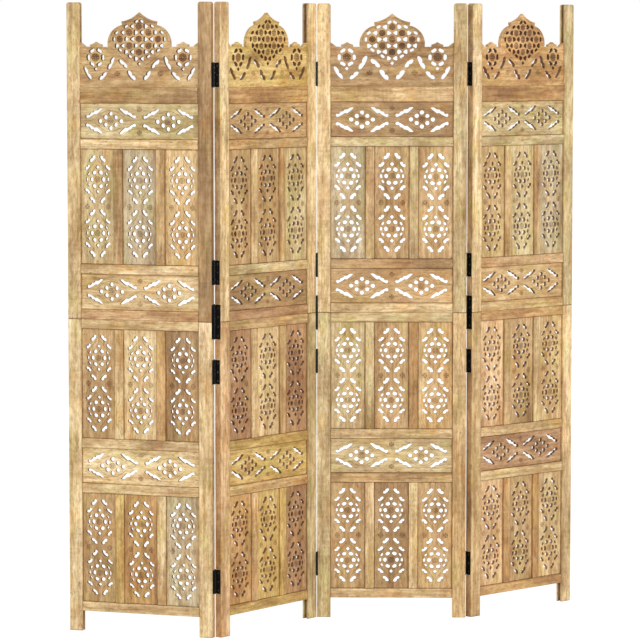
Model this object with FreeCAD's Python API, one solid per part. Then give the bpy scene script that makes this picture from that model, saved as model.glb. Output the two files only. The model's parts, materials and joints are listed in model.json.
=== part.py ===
# Four-panel folding screen: pierced boards held in grooved frames, joined by butt hinges.
# Millimetres. A panel is drawn in its own frame: X across from its left edge, Y = 0 in its middle plane
# with the front at -Y, Z up from the floor. The panels are then stood in a zigzag, with +X along the row
# to the right, -Y to the front, and the origin on the floor under the middle of the row's box.
import FreeCAD, Part
import math
import os

Vector = FreeCAD.Vector
UP = Vector(0, 0, 1)

# Panel frame
PANEL_WIDTH = 400.0
PANEL_HEIGHT = 1650.0
SEAM_SHARE = 0.5
STILE_WIDTH = 36.0
STILE_THICKNESS = 20.0
STILE_EASE = 1.0
POST_TOP_RADIUS = 7.0
LEG_HEIGHT = 53.0
RAIL_HEIGHT = 25.0
RAIL_THICKNESS = 18.0
CROWN_RAIL_HEIGHT = 41.0
CROWN_SPACE = 220.0
MUNTIN_WIDTH = 24.0
FRIEZE_HEIGHT = 94.0

# Pierced boards, and the tongues and grooves that hold them
BOARD_THICKNESS = 9.0
CROWN_THICKNESS = 11.0
CROWN_HEIGHT = 193.5
GROOVE_DEPTH = 8.0
TONGUE_SIDE_PLAY = 0.2
TONGUE_END_PLAY = 0.4
CROWN_SIDE_PLAY = 0.3

# Dowels that pin the upper stiles to the lower ones at the seam
DOWEL_DIAMETER = 8.0
DOWEL_LENGTH = 60.0
DOWEL_PLAY = 0.1
DOWEL_END_PLAY = 0.5

# Butt hinges let into the edges: four small ones on each hinge line, and a large one across the seam
SMALL_HINGE_HEIGHT = 63.0
LARGE_HINGE_HEIGHT = 90.0
SMALL_LEAF_SHARE = 0.7
LARGE_LEAF_SHARE = 0.82
LEAF_THICKNESS = 1.5
LEAF_LET_IN = 1.2
LEAF_BED_PLAY = 0.2
LEAF_GAP = 0.6
BARREL_RADIUS = 3.0
BARREL_STAND_OUT = 0.6
BARREL_PLAY = 0.3
BARREL_RELIEF = 0.4
KNUCKLE_COUNT = 5
KNUCKLE_PLAY = 0.3
PIN_RADIUS = 1.5
PIN_PLAY = 0.05
PIN_HEAD_RADIUS = 2.4
PIN_HEAD_HEIGHT = 1.2
PIN_HEAD_EASE_SHARE = 0.5
LOWER_HINGE_SHARES = (0.177, 0.842)
UPPER_HINGE_SHARES = (0.155, 0.773)

# Countersunk slotted screws
SCREW_RADIUS = 1.4
SCREW_HEAD_RADIUS = 2.6
SCREW_LENGTH = 12.0
SCREW_PLAY = 0.1
SCREW_TIP_PLAY = 0.5
SCREW_HEAD_SHARE = 0.8
SCREW_TIP_SHARE = 0.75
SLOT_WIDTH = 0.7
SLOT_DEPTH = 0.5
SMALL_SCREW_SHARES = (-0.36, 0.0, 0.36)
LARGE_SCREW_SHARES = (-0.4, -0.14, 0.14, 0.4)

# How the screen stands: the inside angle at each hinge line, and the side that its barrels are on
REST_ANGLES = (110.0, 127.0, 135.0)
BACK, FRONT = 1, -1
BARREL_SIDES = (BACK, FRONT, BACK)

CUT_OVERRUN = 1.0
OUTLINE_POINTS = 12
HALF_TURN = 180.0

# Medallion of a slat: its box and place in shares of the slat, the rest in shares of half its width
MEDALLION_WIDTH_SHARE = 0.793
MEDALLION_HEIGHT_SHARE = 0.422
MEDALLION_PLACE_SHARE = 0.2335
MEDALLION_ASPECT_SHARE = 1.65
PETAL_PLACE_SHARES = ((0, 0.415), (62, 0.50), (118, 0.50), (180, 0.415), (242, 0.50), (298, 0.50))
PETAL_RADIUS_SHARE = 0.152
PETAL_SWELL_SHARE = -0.10
PETAL_DENT_SHARE = 0.14
SIDE_BEAN_PLACE_SHARES = (0.785, 0.0)
SIDE_BEAN_RADIUS_SHARE = 0.108
CORNER_BEAN_PLACE_SHARES = (0.665, 0.37)
CORNER_BEAN_RADIUS_SHARE = 0.098
CORNER_BEAN_TURN = 32.0
BEAN_SWELL_SHARE = 0.3
TIP_DIAMOND_PLACE_SHARE = 0.83
TIP_DIAMOND_RADIUS_SHARE = 0.12
DIAMOND_SWELL_SHARE = 0.13
INNER_LEAF_SHARES = ((0.19, 1.60), (0.58, 1.20), 0.135)
OUTER_LEAF_SHARES = ((0.585, 0.965), (0.95, 0.65), 0.118)

# Leaf with one bite out of its outer side: along its half length, across its half width
LEAF_OUTLINE_SHARES = ((-1.0, 0.0), (-0.75, -0.75), (0.0, -1.0), (0.75, -0.7), (1.0, 0.1), (0.72, 0.8),
                       (0.32, 0.85), (0.05, 0.4), (-0.25, 0.9), (-0.7, 0.75))

# Eye of a frieze: its place and unit in shares of the opening, the rest in shares of half the height
EYE_PLACE_SHARE = 0.2427
EYE_UNIT_SHARE = 0.1433
EYE_HOLE_RADIUS_SHARE = 0.122
EYE_HOLE_SHARES = ((0.0, 0.398), (0.617, 0.0), (0.302, 0.204))
FEATHER_START_SHARES = (-1.475, 0.20)
FEATHER_END_SHARES = (-0.48, 0.66)
FEATHER_OUTLINE_SHARES = ((0.0, -0.03), (0.05, -0.08), (0.30, -0.08), (0.48, -0.05), (0.57, -0.11),
                          (0.80, -0.06), (1.0, 0.02), (0.84, 0.10), (0.70, 0.07), (0.52, 0.12),
                          (0.44, 0.07), (0.31, 0.10), (0.18, 0.03), (0.08, 0.095), (0.0, 0.05))

# Crown board: units in shares of the opening and of the crown's height, the rest in those units
CROWN_WIDTH_UNIT_SHARE = 0.3049
CROWN_HEIGHT_UNIT_SHARE = 0.5168
EAR_HEIGHT_SHARE = 1.16
EAR_FOOT_SHARES = (1.495, 1.054)
EAR_BEND_SHARES = (1.585, 1.128)
BUMP_FOOT_SHARE = 1.05
BUMP_SHARES = ((1.362, 1.106), (1.29, 1.125), (1.202, 1.175), (1.114, 1.125), (1.042, 1.106))
DOME_SHARES = ((0.865, 1.046), (0.775, 1.42), (0.464, 1.61))
OGEE_SHARES = ((0.486, 1.70), (0.20, 1.79), (0.0, 1.935))
LATTICE_HEIGHT_SHARE = 1.245
LATTICE_HOLE_SHARE = 0.057
LATTICE_SWELL_SHARE = 0.16
LATTICE_ROW_SHARES = ((0.455, ((0.075, "high_rim"),)),
                      (0.33, ((0.185, "outward"), (0.36, "high_rim"))),
                      (0.17, ((0.09, "inward"), (0.447, "outward"), (0.625, "high_rim"))),
                      (0.0, ((0.18, "outward"), (0.351, "inward"), (0.70, "side_rim"))),
                      (-0.17, ((0.09, "inward"), (0.447, "outward"), (0.615, "inward"))),
                      (-0.285, ((0.527, "low_rim"),)),
                      (-0.33, ((0.185, "outward"), (0.362, "inward"))),
                      (-0.45, ((0.255, "low_rim"),)),
                      (-0.505, ((0.088, "inward"),)))
HEART_TURNS = {"outward": 0.0, "inward": 180.0}
RIM_TURNS = {"high_rim": 150.0, "side_rim": 90.0, "low_rim": 33.0}
RIM_BEAN_SHARE = 0.048
LATTICE_TIP_SHARE = 0.635
SIDE_FLOWER_SHARES = (1.21, 0.77)
SIDE_FLOWER_RADIUS_SHARE = 0.20
SIDE_FLOWER_HOLE_SHARE = 0.061
SIDE_FLOWER_PETALS = 6
SIDE_FLOWER_TIP_SHARE = 0.30
CROWN_DIAMOND_SHARE = 0.042
CROWN_LEAF_SHARES = (((1.55, 0.53), (1.32, 0.185), 0.056, -1), ((0.90, 0.385), (1.13, 0.19), 0.056, 1),
                     ((0.69, 0.80), (0.87, 0.45), 0.060, 1), ((0.57, 0.71), (0.33, 0.51), 0.060, 1),
                     ((0.32, 0.43), (0.115, 0.18), 0.064, -1))

# Sizes that follow from those above
SEAM_HEIGHT = PANEL_HEIGHT * SEAM_SHARE
OPENING_WIDTH = PANEL_WIDTH - 2 * STILE_WIDTH
SLAT_COUNT = 3
SLAT_WIDTH = (OPENING_WIDTH - (SLAT_COUNT - 1) * MUNTIN_WIDTH) / SLAT_COUNT
LOWER_SLAT_HEIGHT = (SEAM_HEIGHT - LEG_HEIGHT - FRIEZE_HEIGHT - 4 * RAIL_HEIGHT) / 2
UPPER_SLAT_HEIGHT = (PANEL_HEIGHT - SEAM_HEIGHT - CROWN_SPACE - CROWN_RAIL_HEIGHT
                     - 2 * FRIEZE_HEIGHT - 3 * RAIL_HEIGHT)
GROOVE_WIDTH = BOARD_THICKNESS + 2 * TONGUE_SIDE_PLAY
TONGUE_LENGTH = GROOVE_DEPTH - TONGUE_END_PLAY
SCREW_REACH = SCREW_LENGTH - LEAF_THICKNESS
DOWEL_PLACE = (LEAF_LET_IN + SCREW_REACH + STILE_WIDTH - GROOVE_DEPTH) / 2
PANEL_GAP = 2 * (LEAF_THICKNESS - LEAF_LET_IN) + LEAF_GAP
AXIS_OFFSET = STILE_THICKNESS / 2 + BARREL_STAND_OUT
LEAF_START = BARREL_RADIUS + BARREL_RELIEF
LEAF_SPAN = (-LEAF_GAP / 2 - LEAF_THICKNESS, -LEAF_GAP / 2)


def levels(start, stack):
    """Name and height of each piece of a stack, from the bottom up, to its low and high edges."""
    edges = {}
    for name, height in stack:
        edges[name] = (start, start + height)
        start += height
    return edges


LEVELS = levels(LEG_HEIGHT, (("bottom_rail", RAIL_HEIGHT), ("lower_slats", LOWER_SLAT_HEIGHT),
                             ("lower_rail", RAIL_HEIGHT), ("lower_frieze", FRIEZE_HEIGHT),
                             ("middle_rail", RAIL_HEIGHT), ("middle_slats", LOWER_SLAT_HEIGHT),
                             ("lower_seam_rail", RAIL_HEIGHT)))
LEVELS.update(levels(SEAM_HEIGHT, (("upper_seam_rail", RAIL_HEIGHT), ("middle_frieze", FRIEZE_HEIGHT),
                                   ("upper_rail", RAIL_HEIGHT), ("upper_slats", UPPER_SLAT_HEIGHT),
                                   ("frieze_rail", RAIL_HEIGHT), ("top_frieze", FRIEZE_HEIGHT),
                                   ("crown_rail", CROWN_RAIL_HEIGHT))))


# Plain solids

def block(x_span, y_span, z_span):
    """Box between a low and a high value on each axis."""
    low = Vector(x_span[0], y_span[0], z_span[0])
    return Part.makeBox(x_span[1] - x_span[0], y_span[1] - y_span[0], z_span[1] - z_span[0], low)


def middle(thickness):
    """Span of a thickness about the panel's middle plane."""
    return (-thickness / 2, thickness / 2)


def turned(profile):
    """Solid of revolution about Z from (radius, height) points."""
    points = [Vector(radius, 0, height) for radius, height in profile]
    face = Part.Face(Part.makePolygon(points + points[:1]))
    return face.revolve(Vector(), UP, 2 * HALF_TURN)


def united(solids):
    """One solid from several that share faces."""
    return solids[0].multiFuse(solids[1:]).removeSplitter().Solids[0]


def rotated(shape, axis, angle):
    """Copy of a shape turned about an axis through the origin."""
    turn = FreeCAD.Placement(Vector(), FreeCAD.Rotation(axis, angle))
    return shape.transformed(turn.toMatrix(), copy=True)


def moved(shape, offset):
    """Copy of a shape moved by a vector."""
    return shape.transformed(FreeCAD.Placement(offset, FreeCAD.Rotation()).toMatrix(), copy=True)


# Outlines of the piercings, as (x, z) points in the pattern's own units

def lobed(centre, radius, lobes, swell, turn, dent=0):
    """Round hole whose radius swells `lobes` times in a turn: 2 bean, 3 heart, 4 diamond. A dent on the
    side away from its turn makes a kidney of it."""
    points = []
    for step in range(OUTLINE_POINTS):
        angle = 2 * math.pi * step / OUTLINE_POINTS
        reach = radius * (1 + dent * math.cos(angle) + swell * math.cos(lobes * angle))
        way = angle + math.radians(turn)
        points.append((centre[0] + reach * math.cos(way), centre[1] + reach * math.sin(way)))
    return points


def laid(outline, start, end, half_length, half_width):
    """Outline of (along, across) shares laid on the line from start towards end."""
    span = math.dist(start, end)
    along = ((end[0] - start[0]) / span, (end[1] - start[1]) / span)
    across = (-along[1], along[0])
    return [(start[0] + half_length * a * along[0] + half_width * c * across[0],
             start[1] + half_length * a * along[1] + half_width * c * across[1]) for a, c in outline]


def leaf(start, end, half_width, outer_side):
    """Leaf from start to end, with the bite on its left side, or on its right where outer_side is -1."""
    centre = ((start[0] + end[0]) / 2, (start[1] + end[1]) / 2)
    half_length = math.dist(start, end) / 2
    return laid(LEAF_OUTLINE_SHARES, centre, end, half_length, half_width * outer_side)


def feather():
    """Saw-toothed feather, its teeth on the side away from the eye."""
    length = math.dist(FEATHER_START_SHARES, FEATHER_END_SHARES)
    return laid(FEATHER_OUTLINE_SHARES, FEATHER_START_SHARES, FEATHER_END_SHARES, length, length)


def flipped(outlines, over_x, over_z):
    """The outlines with their mirror images across the pattern's upright or level line, or both."""
    copies = list(outlines)
    if over_x:
        copies += [[(-x, z) for x, z in outline] for outline in copies]
    if over_z:
        copies += [[(x, -z) for x, z in outline] for outline in copies]
    return copies


def medallion_holes():
    """Flower of six petals in a ring of beans, between four pairs of leaves."""
    petals = []
    for angle, reach in PETAL_PLACE_SHARES:
        way = math.radians(angle)
        centre = (reach * math.cos(way), reach * math.sin(way))
        petals.append(lobed(centre, PETAL_RADIUS_SHARE, 2, PETAL_SWELL_SHARE, angle, PETAL_DENT_SHARE))
    sides = [lobed(SIDE_BEAN_PLACE_SHARES, SIDE_BEAN_RADIUS_SHARE, 2, BEAN_SWELL_SHARE, HALF_TURN / 2)]
    corner = lobed(CORNER_BEAN_PLACE_SHARES, CORNER_BEAN_RADIUS_SHARE, 2, BEAN_SWELL_SHARE,
                   HALF_TURN / 2 + CORNER_BEAN_TURN)
    tips = [lobed((0, TIP_DIAMOND_PLACE_SHARE), TIP_DIAMOND_RADIUS_SHARE, 4, DIAMOND_SWELL_SHARE, 0)]
    quarter = [corner, leaf(*INNER_LEAF_SHARES, 1), leaf(*OUTER_LEAF_SHARES, 1)]
    return petals + flipped(sides, True, False) + flipped(tips, False, True) + flipped(quarter, True, True)


def eye_holes():
    """Eight round holes about the eye of a frieze."""
    top, side, corner = [lobed(place, EYE_HOLE_RADIUS_SHARE, 0, 0, 0) for place in EYE_HOLE_SHARES]
    return flipped([top], False, True) + flipped([side], True, False) + flipped([corner], True, True)


def lattice_holes():
    """Hearts and beans between the nine rosettes of the crown's dome, and the diamond below them."""
    holes = []
    for height, row in LATTICE_ROW_SHARES:
        for place, kind in row:
            if kind in RIM_TURNS:
                hole = lobed((place, height), RIM_BEAN_SHARE, 2, BEAN_SWELL_SHARE, RIM_TURNS[kind])
            else:
                hole = lobed((place, height), LATTICE_HOLE_SHARE, 3, LATTICE_SWELL_SHARE, HEART_TURNS[kind])
            holes += flipped([hole], True, False)
    holes.append(lobed((0, -LATTICE_TIP_SHARE), CROWN_DIAMOND_SHARE, 4, DIAMOND_SWELL_SHARE, 0))
    return [[(x, z + LATTICE_HEIGHT_SHARE) for x, z in hole] for hole in holes]


def side_flower_holes():
    """Ring of beans with a diamond under it, and the leaves, on the right half of the crown."""
    centre_x, centre_z = SIDE_FLOWER_SHARES
    holes = []
    for petal in range(SIDE_FLOWER_PETALS):
        angle = 2 * HALF_TURN * petal / SIDE_FLOWER_PETALS
        way = math.radians(angle)
        place = (centre_x + SIDE_FLOWER_RADIUS_SHARE * math.cos(way),
                 centre_z + SIDE_FLOWER_RADIUS_SHARE * math.sin(way))
        holes.append(lobed(place, SIDE_FLOWER_HOLE_SHARE, 2, BEAN_SWELL_SHARE, angle + HALF_TURN / 2))
    holes.append(lobed((centre_x, centre_z - SIDE_FLOWER_TIP_SHARE), CROWN_DIAMOND_SHARE, 4,
                       DIAMOND_SWELL_SHARE, 0))
    return holes + [leaf(*shares) for shares in CROWN_LEAF_SHARES]


# Pierced boards

def smooth_wire(points):
    """Closed smooth curve through points."""
    curve = Part.BSplineCurve()
    curve.interpolate(Points=points, PeriodicFlag=True)
    return Part.Wire([curve.toShape()])


def straight_wire(points):
    """Closed wire of straight edges through points."""
    return Part.makePolygon(points + points[:1])


def placed_points(outline, centre, units):
    """Pattern points in the panel's X and Z, about a centre and at the pattern's two units."""
    return [Vector(centre[0] + x * units[0], 0, centre[1] + z * units[1]) for x, z in outline]


def board(outer, holes, thickness):
    """Board of a thickness about the middle plane, from its outer wire and the wires of its piercings."""
    face = Part.makeFace([outer] + holes, "Part::FaceMakerBullseye")
    solid = face.extrude(Vector(0, thickness, 0)).Solids[0]
    return moved(solid, Vector(0, -thickness / 2, 0))


def rectangle(x_span, z_span):
    """Board edge in a rectangular opening, with a tongue's length more on each side."""
    left, right = x_span[0] - TONGUE_LENGTH, x_span[1] + TONGUE_LENGTH
    low, high = z_span[0] - TONGUE_LENGTH, z_span[1] + TONGUE_LENGTH
    return straight_wire([Vector(left, 0, low), Vector(right, 0, low),
                          Vector(right, 0, high), Vector(left, 0, high)])


def slat_spans():
    """Left and right edges of the three slat openings."""
    pitch = SLAT_WIDTH + MUNTIN_WIDTH
    starts = [STILE_WIDTH + number * pitch for number in range(SLAT_COUNT)]
    return [(start, start + SLAT_WIDTH) for start in starts]


def slats(tier):
    """Three upright boards of a tier, each pierced with two medallions."""
    low, high = LEVELS[tier]
    height = high - low
    units = (SLAT_WIDTH * MEDALLION_WIDTH_SHARE / 2,
             height * MEDALLION_HEIGHT_SHARE / (2 * MEDALLION_ASPECT_SHARE))
    boards = []
    for span in slat_spans():
        holes = []
        for side in (-1, 1):
            centre = (sum(span) / 2, (low + high) / 2 + side * height * MEDALLION_PLACE_SHARE)
            holes += [smooth_wire(placed_points(hole, centre, units)) for hole in medallion_holes()]
        boards.append(board(rectangle(span, (low, high)), holes, BOARD_THICKNESS))
    return boards


def frieze(tier):
    """Level board pierced with two eyes between feathers."""
    low, high = LEVELS[tier]
    units = (OPENING_WIDTH * EYE_UNIT_SHARE, (high - low) / 2)
    holes = []
    for side in (-1, 1):
        centre = (PANEL_WIDTH / 2 + side * OPENING_WIDTH * EYE_PLACE_SHARE, (low + high) / 2)
        holes += [smooth_wire(placed_points(hole, centre, units)) for hole in eye_holes()]
        holes += [straight_wire(placed_points(hole, centre, units))
                  for hole in flipped([feather()], True, True)]
    return board(rectangle((STILE_WIDTH, PANEL_WIDTH - STILE_WIDTH), (low, high)), holes, BOARD_THICKNESS)


def crown_edge(centre, units):
    """Edge of the crown board: tongues below and at the sides, ears, bumps, dome and ogee peak above."""
    half_tongue = OPENING_WIDTH / 2 + TONGUE_LENGTH
    ear_height = EAR_HEIGHT_SHARE * units[1]

    def half(side):
        """Edges from the foot of the board up to the peak, on the right (1) or left (-1)."""
        def at(shares):
            return Vector(centre[0] + side * shares[0] * units[0], 0, centre[1] + shares[1] * units[1])

        foot = Vector(centre[0], 0, centre[1] - TONGUE_LENGTH)
        corner = Vector(centre[0] + side * half_tongue, 0, centre[1] - TONGUE_LENGTH)
        ear = Vector(corner.x, 0, centre[1] + ear_height)
        ear_tip = Vector(centre[0] + side * OPENING_WIDTH / 2, 0, ear.z)
        ear_foot = at(EAR_FOOT_SHARES)
        bump = [at(shares) for shares in BUMP_SHARES]
        bump_feet = [at((BUMP_SHARES[end][0], BUMP_FOOT_SHARE)) for end in (0, -1)]
        dome = [at(shares) for shares in DOME_SHARES]
        ogee = [at(shares) for shares in OGEE_SHARES]
        return [Part.LineSegment(foot, corner), Part.LineSegment(corner, ear), Part.LineSegment(ear, ear_tip),
                Part.Arc(ear_tip, at(EAR_BEND_SHARES), ear_foot), Part.LineSegment(ear_foot, bump_feet[0]),
                Part.LineSegment(bump_feet[0], bump[0]), Part.Arc(*bump[:3]), Part.Arc(*bump[2:]),
                Part.LineSegment(bump[-1], bump_feet[1]), Part.LineSegment(bump_feet[1], dome[0]),
                Part.Arc(*dome), Part.LineSegment(dome[-1], ogee[0]), Part.Arc(*ogee)]

    edges = [curve.toShape() for side in (1, -1) for curve in half(side)]
    return Part.Wire(Part.__sortEdges__(edges))


def crown_board():
    """Pierced crown between the post tops, thinned to tongues along its foot and its sides."""
    foot = LEVELS["crown_rail"][1]
    centre = (PANEL_WIDTH / 2, foot)
    units = (OPENING_WIDTH * CROWN_WIDTH_UNIT_SHARE, CROWN_HEIGHT * CROWN_HEIGHT_UNIT_SHARE)
    outlines = lattice_holes() + flipped(side_flower_holes(), True, False)
    holes = [smooth_wire(placed_points(outline, centre, units)) for outline in outlines]
    solid = board(crown_edge(centre, units), holes, CROWN_THICKNESS)

    left, right = STILE_WIDTH - GROOVE_DEPTH, PANEL_WIDTH - STILE_WIDTH + GROOVE_DEPTH
    shoulder = STILE_WIDTH + CROWN_SIDE_PLAY
    top = PANEL_HEIGHT + CROWN_HEIGHT
    rebates = []
    for y_span in ((-CROWN_THICKNESS, -BOARD_THICKNESS / 2), (BOARD_THICKNESS / 2, CROWN_THICKNESS)):
        rebates.append(block((left, right), y_span, (foot - GROOVE_DEPTH, foot)))
        rebates.append(block((left, shoulder), y_span, (foot - GROOVE_DEPTH, top)))
        rebates.append(block((PANEL_WIDTH - shoulder, right), y_span, (foot - GROOVE_DEPTH, top)))
    return solid.cut(rebates).Solids[0]


# Frame timbers

def stile_section():
    """Outline of a left stile seen from above: eased corners, and the groove in its inner edge."""
    half, groove = STILE_THICKNESS / 2, GROOVE_WIDTH / 2
    inner, outer = STILE_WIDTH - STILE_EASE, STILE_EASE
    flat = half - STILE_EASE
    bed = STILE_WIDTH - GROOVE_DEPTH
    return [(outer, -half), (inner, -half), (STILE_WIDTH, -flat), (STILE_WIDTH, -groove), (bed, -groove),
            (bed, groove), (STILE_WIDTH, groove), (STILE_WIDTH, flat), (inner, half), (outer, half),
            (0, flat), (0, -flat)]


def left_stile(low, high, rounded_top):
    """Left stile between two heights, with its top corners rounded where it ends in the open."""
    section = straight_wire([Vector(x, y, low) for x, y in stile_section()])
    stile = Part.Face(section).extrude(Vector(0, 0, high - low))
    if rounded_top:
        blank = block((0, STILE_WIDTH), middle(STILE_THICKNESS), (low, high))
        top_edges = [edge for edge in blank.Edges
                     if all(vertex.Z > (low + high) / 2 for vertex in edge.Vertexes)
                     and abs(edge.Vertexes[0].Y - edge.Vertexes[1].Y) > STILE_THICKNESS / 2]
        stile = stile.common(blank.makeFillet(POST_TOP_RADIUS, top_edges))
    reach = DOWEL_LENGTH / 2 + DOWEL_END_PLAY
    socket = Part.makeCylinder(DOWEL_DIAMETER / 2 + DOWEL_PLAY, 2 * reach,
                               Vector(DOWEL_PLACE, 0, SEAM_HEIGHT - reach))
    return stile.cut(socket).Solids[0]


def stiles(right):
    """Lower and upper stile of one side: the right pair is the left pair turned end for end in plan."""
    pair = [left_stile(0, SEAM_HEIGHT, False), left_stile(SEAM_HEIGHT, PANEL_HEIGHT, True)]
    if right:
        pair = [moved(rotated(stile, UP, HALF_TURN), Vector(PANEL_WIDTH, 0, 0)) for stile in pair]
    return pair


def dowels():
    """Seam dowel in each stile."""
    places = (DOWEL_PLACE, PANEL_WIDTH - DOWEL_PLACE)
    low = SEAM_HEIGHT - DOWEL_LENGTH / 2
    return [Part.makeCylinder(DOWEL_DIAMETER / 2, DOWEL_LENGTH, Vector(place, 0, low)) for place in places]


def rail(name, groove_below, groove_above):
    """Rail between the stiles: grooved for boards below or above, with stub tongues in the stiles."""
    low, high = LEVELS[name]
    left, right = STILE_WIDTH, PANEL_WIDTH - STILE_WIDTH
    web = (low + GROOVE_DEPTH * groove_below, high - GROOVE_DEPTH * groove_above)
    body = block((left, right), middle(RAIL_THICKNESS), (low, high))
    grooves = [block((left, right), middle(GROOVE_WIDTH), span)
               for span, wanted in (((low, web[0]), groove_below), ((web[1], high), groove_above)) if wanted]
    tongues = [block((left - TONGUE_LENGTH, left), middle(BOARD_THICKNESS), web),
               block((right, right + TONGUE_LENGTH), middle(BOARD_THICKNESS), web)]
    return united([body.cut(grooves)] + tongues)


def muntins(tier):
    """Uprights between the slats of a tier: grooved on both sides, with stub tongues in the rails."""
    low, high = LEVELS[tier]
    uprights = []
    for span in slat_spans()[:-1]:
        left, right = span[1], span[1] + MUNTIN_WIDTH
        web = (left + GROOVE_DEPTH, right - GROOVE_DEPTH)
        body = block((left, right), middle(RAIL_THICKNESS), (low, high))
        grooves = [block((left, web[0]), middle(GROOVE_WIDTH), (low, high)),
                   block((web[1], right), middle(GROOVE_WIDTH), (low, high))]
        tongues = [block(web, middle(BOARD_THICKNESS), (low - TONGUE_LENGTH, low)),
                   block(web, middle(BOARD_THICKNESS), (high, high + TONGUE_LENGTH))]
        uprights.append(united([body.cut(grooves)] + tongues))
    return uprights


# Hinge pieces, about the hinge axis at mid-height: the panel on the left, the barrel at the back

def hinge_rows():
    """Height of the middle, height, leaf width and screw places of each hinge on a hinge line."""
    upper_half = PANEL_HEIGHT - SEAM_HEIGHT
    heights = [SEAM_HEIGHT * share for share in LOWER_HINGE_SHARES]
    heights += [SEAM_HEIGHT + upper_half * share for share in UPPER_HINGE_SHARES]
    small = (SMALL_HINGE_HEIGHT, STILE_THICKNESS * SMALL_LEAF_SHARE, SMALL_SCREW_SHARES)
    large = (LARGE_HINGE_HEIGHT, STILE_THICKNESS * LARGE_LEAF_SHARE, LARGE_SCREW_SHARES)
    return [(height, *small) for height in heights] + [(SEAM_HEIGHT, *large)]


def screw_places(height, width, shares):
    """Middle of each screw's head, on the open face of the leaf."""
    return [Vector(LEAF_SPAN[1], -(LEAF_START + width / 2), share * height) for share in shares]


def aimed(shape, place):
    """Turned solid that points down, aimed into the panel's edge from a place on the leaf."""
    return moved(rotated(shape, Vector(0, 1, 0), HALF_TURN / 2), place)


def hinge_leaf(height, width, shares, first_knuckle):
    """Leaf plate in the panel's edge, with every second knuckle from first_knuckle rolled on it."""
    solids = [block(LEAF_SPAN, (-LEAF_START - width, -LEAF_START), (-height / 2, height / 2))]
    pitch = height / KNUCKLE_COUNT
    for number in range(first_knuckle, KNUCKLE_COUNT, 2):
        low = number * pitch - height / 2 + KNUCKLE_PLAY / 2
        length = pitch - KNUCKLE_PLAY
        solids.append(Part.makeCylinder(BARREL_RADIUS, length, Vector(0, 0, low)))
        solids.append(block(LEAF_SPAN, (-LEAF_START, 0), (low, low + length)))
    bore = Part.makeCylinder(PIN_RADIUS + PIN_PLAY, height, Vector(0, 0, -height / 2))
    head_depth = LEAF_THICKNESS * SCREW_HEAD_SHARE
    sink = turned([(0, 0), (SCREW_HEAD_RADIUS + SCREW_PLAY, 0), (SCREW_RADIUS + SCREW_PLAY, -head_depth),
                   (SCREW_RADIUS + SCREW_PLAY, -LEAF_THICKNESS - CUT_OVERRUN),
                   (0, -LEAF_THICKNESS - CUT_OVERRUN)])
    sinks = [aimed(sink, place) for place in screw_places(height, width, shares)]
    return united(solids).cut([bore] + sinks).Solids[0]


def hinge_pin(height):
    """Pin through the knuckles, with an eased button at each end."""
    ease = PIN_HEAD_HEIGHT * PIN_HEAD_EASE_SHARE
    end = height / 2
    upper = [(PIN_RADIUS, end), (PIN_HEAD_RADIUS, end), (PIN_HEAD_RADIUS, end + PIN_HEAD_HEIGHT - ease),
             (PIN_HEAD_RADIUS - ease, end + PIN_HEAD_HEIGHT), (0, end + PIN_HEAD_HEIGHT)]
    lower = [(radius, -z) for radius, z in reversed(upper)]
    return turned(lower + upper)


def screw():
    """Slotted countersunk wood screw, pointing down, its head's face at zero."""
    body = turned([(0, 0), (SCREW_HEAD_RADIUS, 0), (SCREW_RADIUS, -LEAF_THICKNESS * SCREW_HEAD_SHARE),
                   (SCREW_RADIUS, -SCREW_LENGTH * SCREW_TIP_SHARE), (0, -SCREW_LENGTH)])
    slot = block((-SCREW_HEAD_RADIUS, SCREW_HEAD_RADIUS), middle(SLOT_WIDTH), (-SLOT_DEPTH, CUT_OVERRUN))
    return body.cut(slot).Solids[0]


def pilot_holes(height, width, shares):
    """Cutters for the screw holes in the panel's edge."""
    depth = LEAF_THICKNESS + SCREW_REACH + SCREW_TIP_PLAY
    drill = Part.makeCylinder(SCREW_RADIUS + SCREW_PLAY, depth, Vector(0, 0, -depth))
    return [aimed(drill, place) for place in screw_places(height, width, shares)]


def leaf_bed(height, width):
    """Cutters for the leaf's bed in the panel's edge and for the hollow that clears the barrel and the pin."""
    reach = height / 2 + LEAF_BED_PLAY
    bed = block((LEAF_SPAN[0], CUT_OVERRUN), (-LEAF_START - width - LEAF_BED_PLAY, 0), (-reach, reach))
    end = height / 2 + PIN_HEAD_HEIGHT + BARREL_PLAY
    hollow = Part.makeCylinder(BARREL_RADIUS + BARREL_PLAY, 2 * end, Vector(0, 0, -end))
    return [bed, hollow]


def on_edge(shapes, height, right_edge, side):
    """Hinge pieces taken to a panel's left or right edge, with the barrel at its back or front."""
    across = PANEL_WIDTH + PANEL_GAP / 2 if right_edge else -PANEL_GAP / 2
    centre = Vector(across, side * AXIS_OFFSET, height)
    seated = []
    for shape in shapes:
        if not right_edge:
            shape = rotated(shape, Vector(0, 1, 0), HALF_TURN)
        if side == FRONT:
            shape = rotated(shape, Vector(1, 0, 0), HALF_TURN)
        seated.append(moved(shape, centre))
    return seated


# The zigzag: where each panel and each hinge axis stands in plan

def plan_point(frame, x, y):
    """Point of a panel's own plan in the row's plan."""
    angle, origin_x, origin_y = frame
    way = math.radians(angle)
    cosine, sine = math.cos(way), math.sin(way)
    return (origin_x + x * cosine - y * sine, origin_y + x * sine + y * cosine)


def zigzag(first_angle):
    """Plan frame (angle, x, y) of each panel, chained from hinge axis to hinge axis."""
    frames = [(first_angle, 0.0, 0.0)]
    for inside, side in zip(REST_ANGLES, BARREL_SIDES):
        axis = plan_point(frames[-1], PANEL_WIDTH + PANEL_GAP / 2, side * AXIS_OFFSET)
        angle = frames[-1][0] + side * (HALF_TURN - inside)
        reach = plan_point((angle, 0.0, 0.0), -PANEL_GAP / 2, side * AXIS_OFFSET)
        frames.append((angle, axis[0] - reach[0], axis[1] - reach[1]))
    return frames


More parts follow.
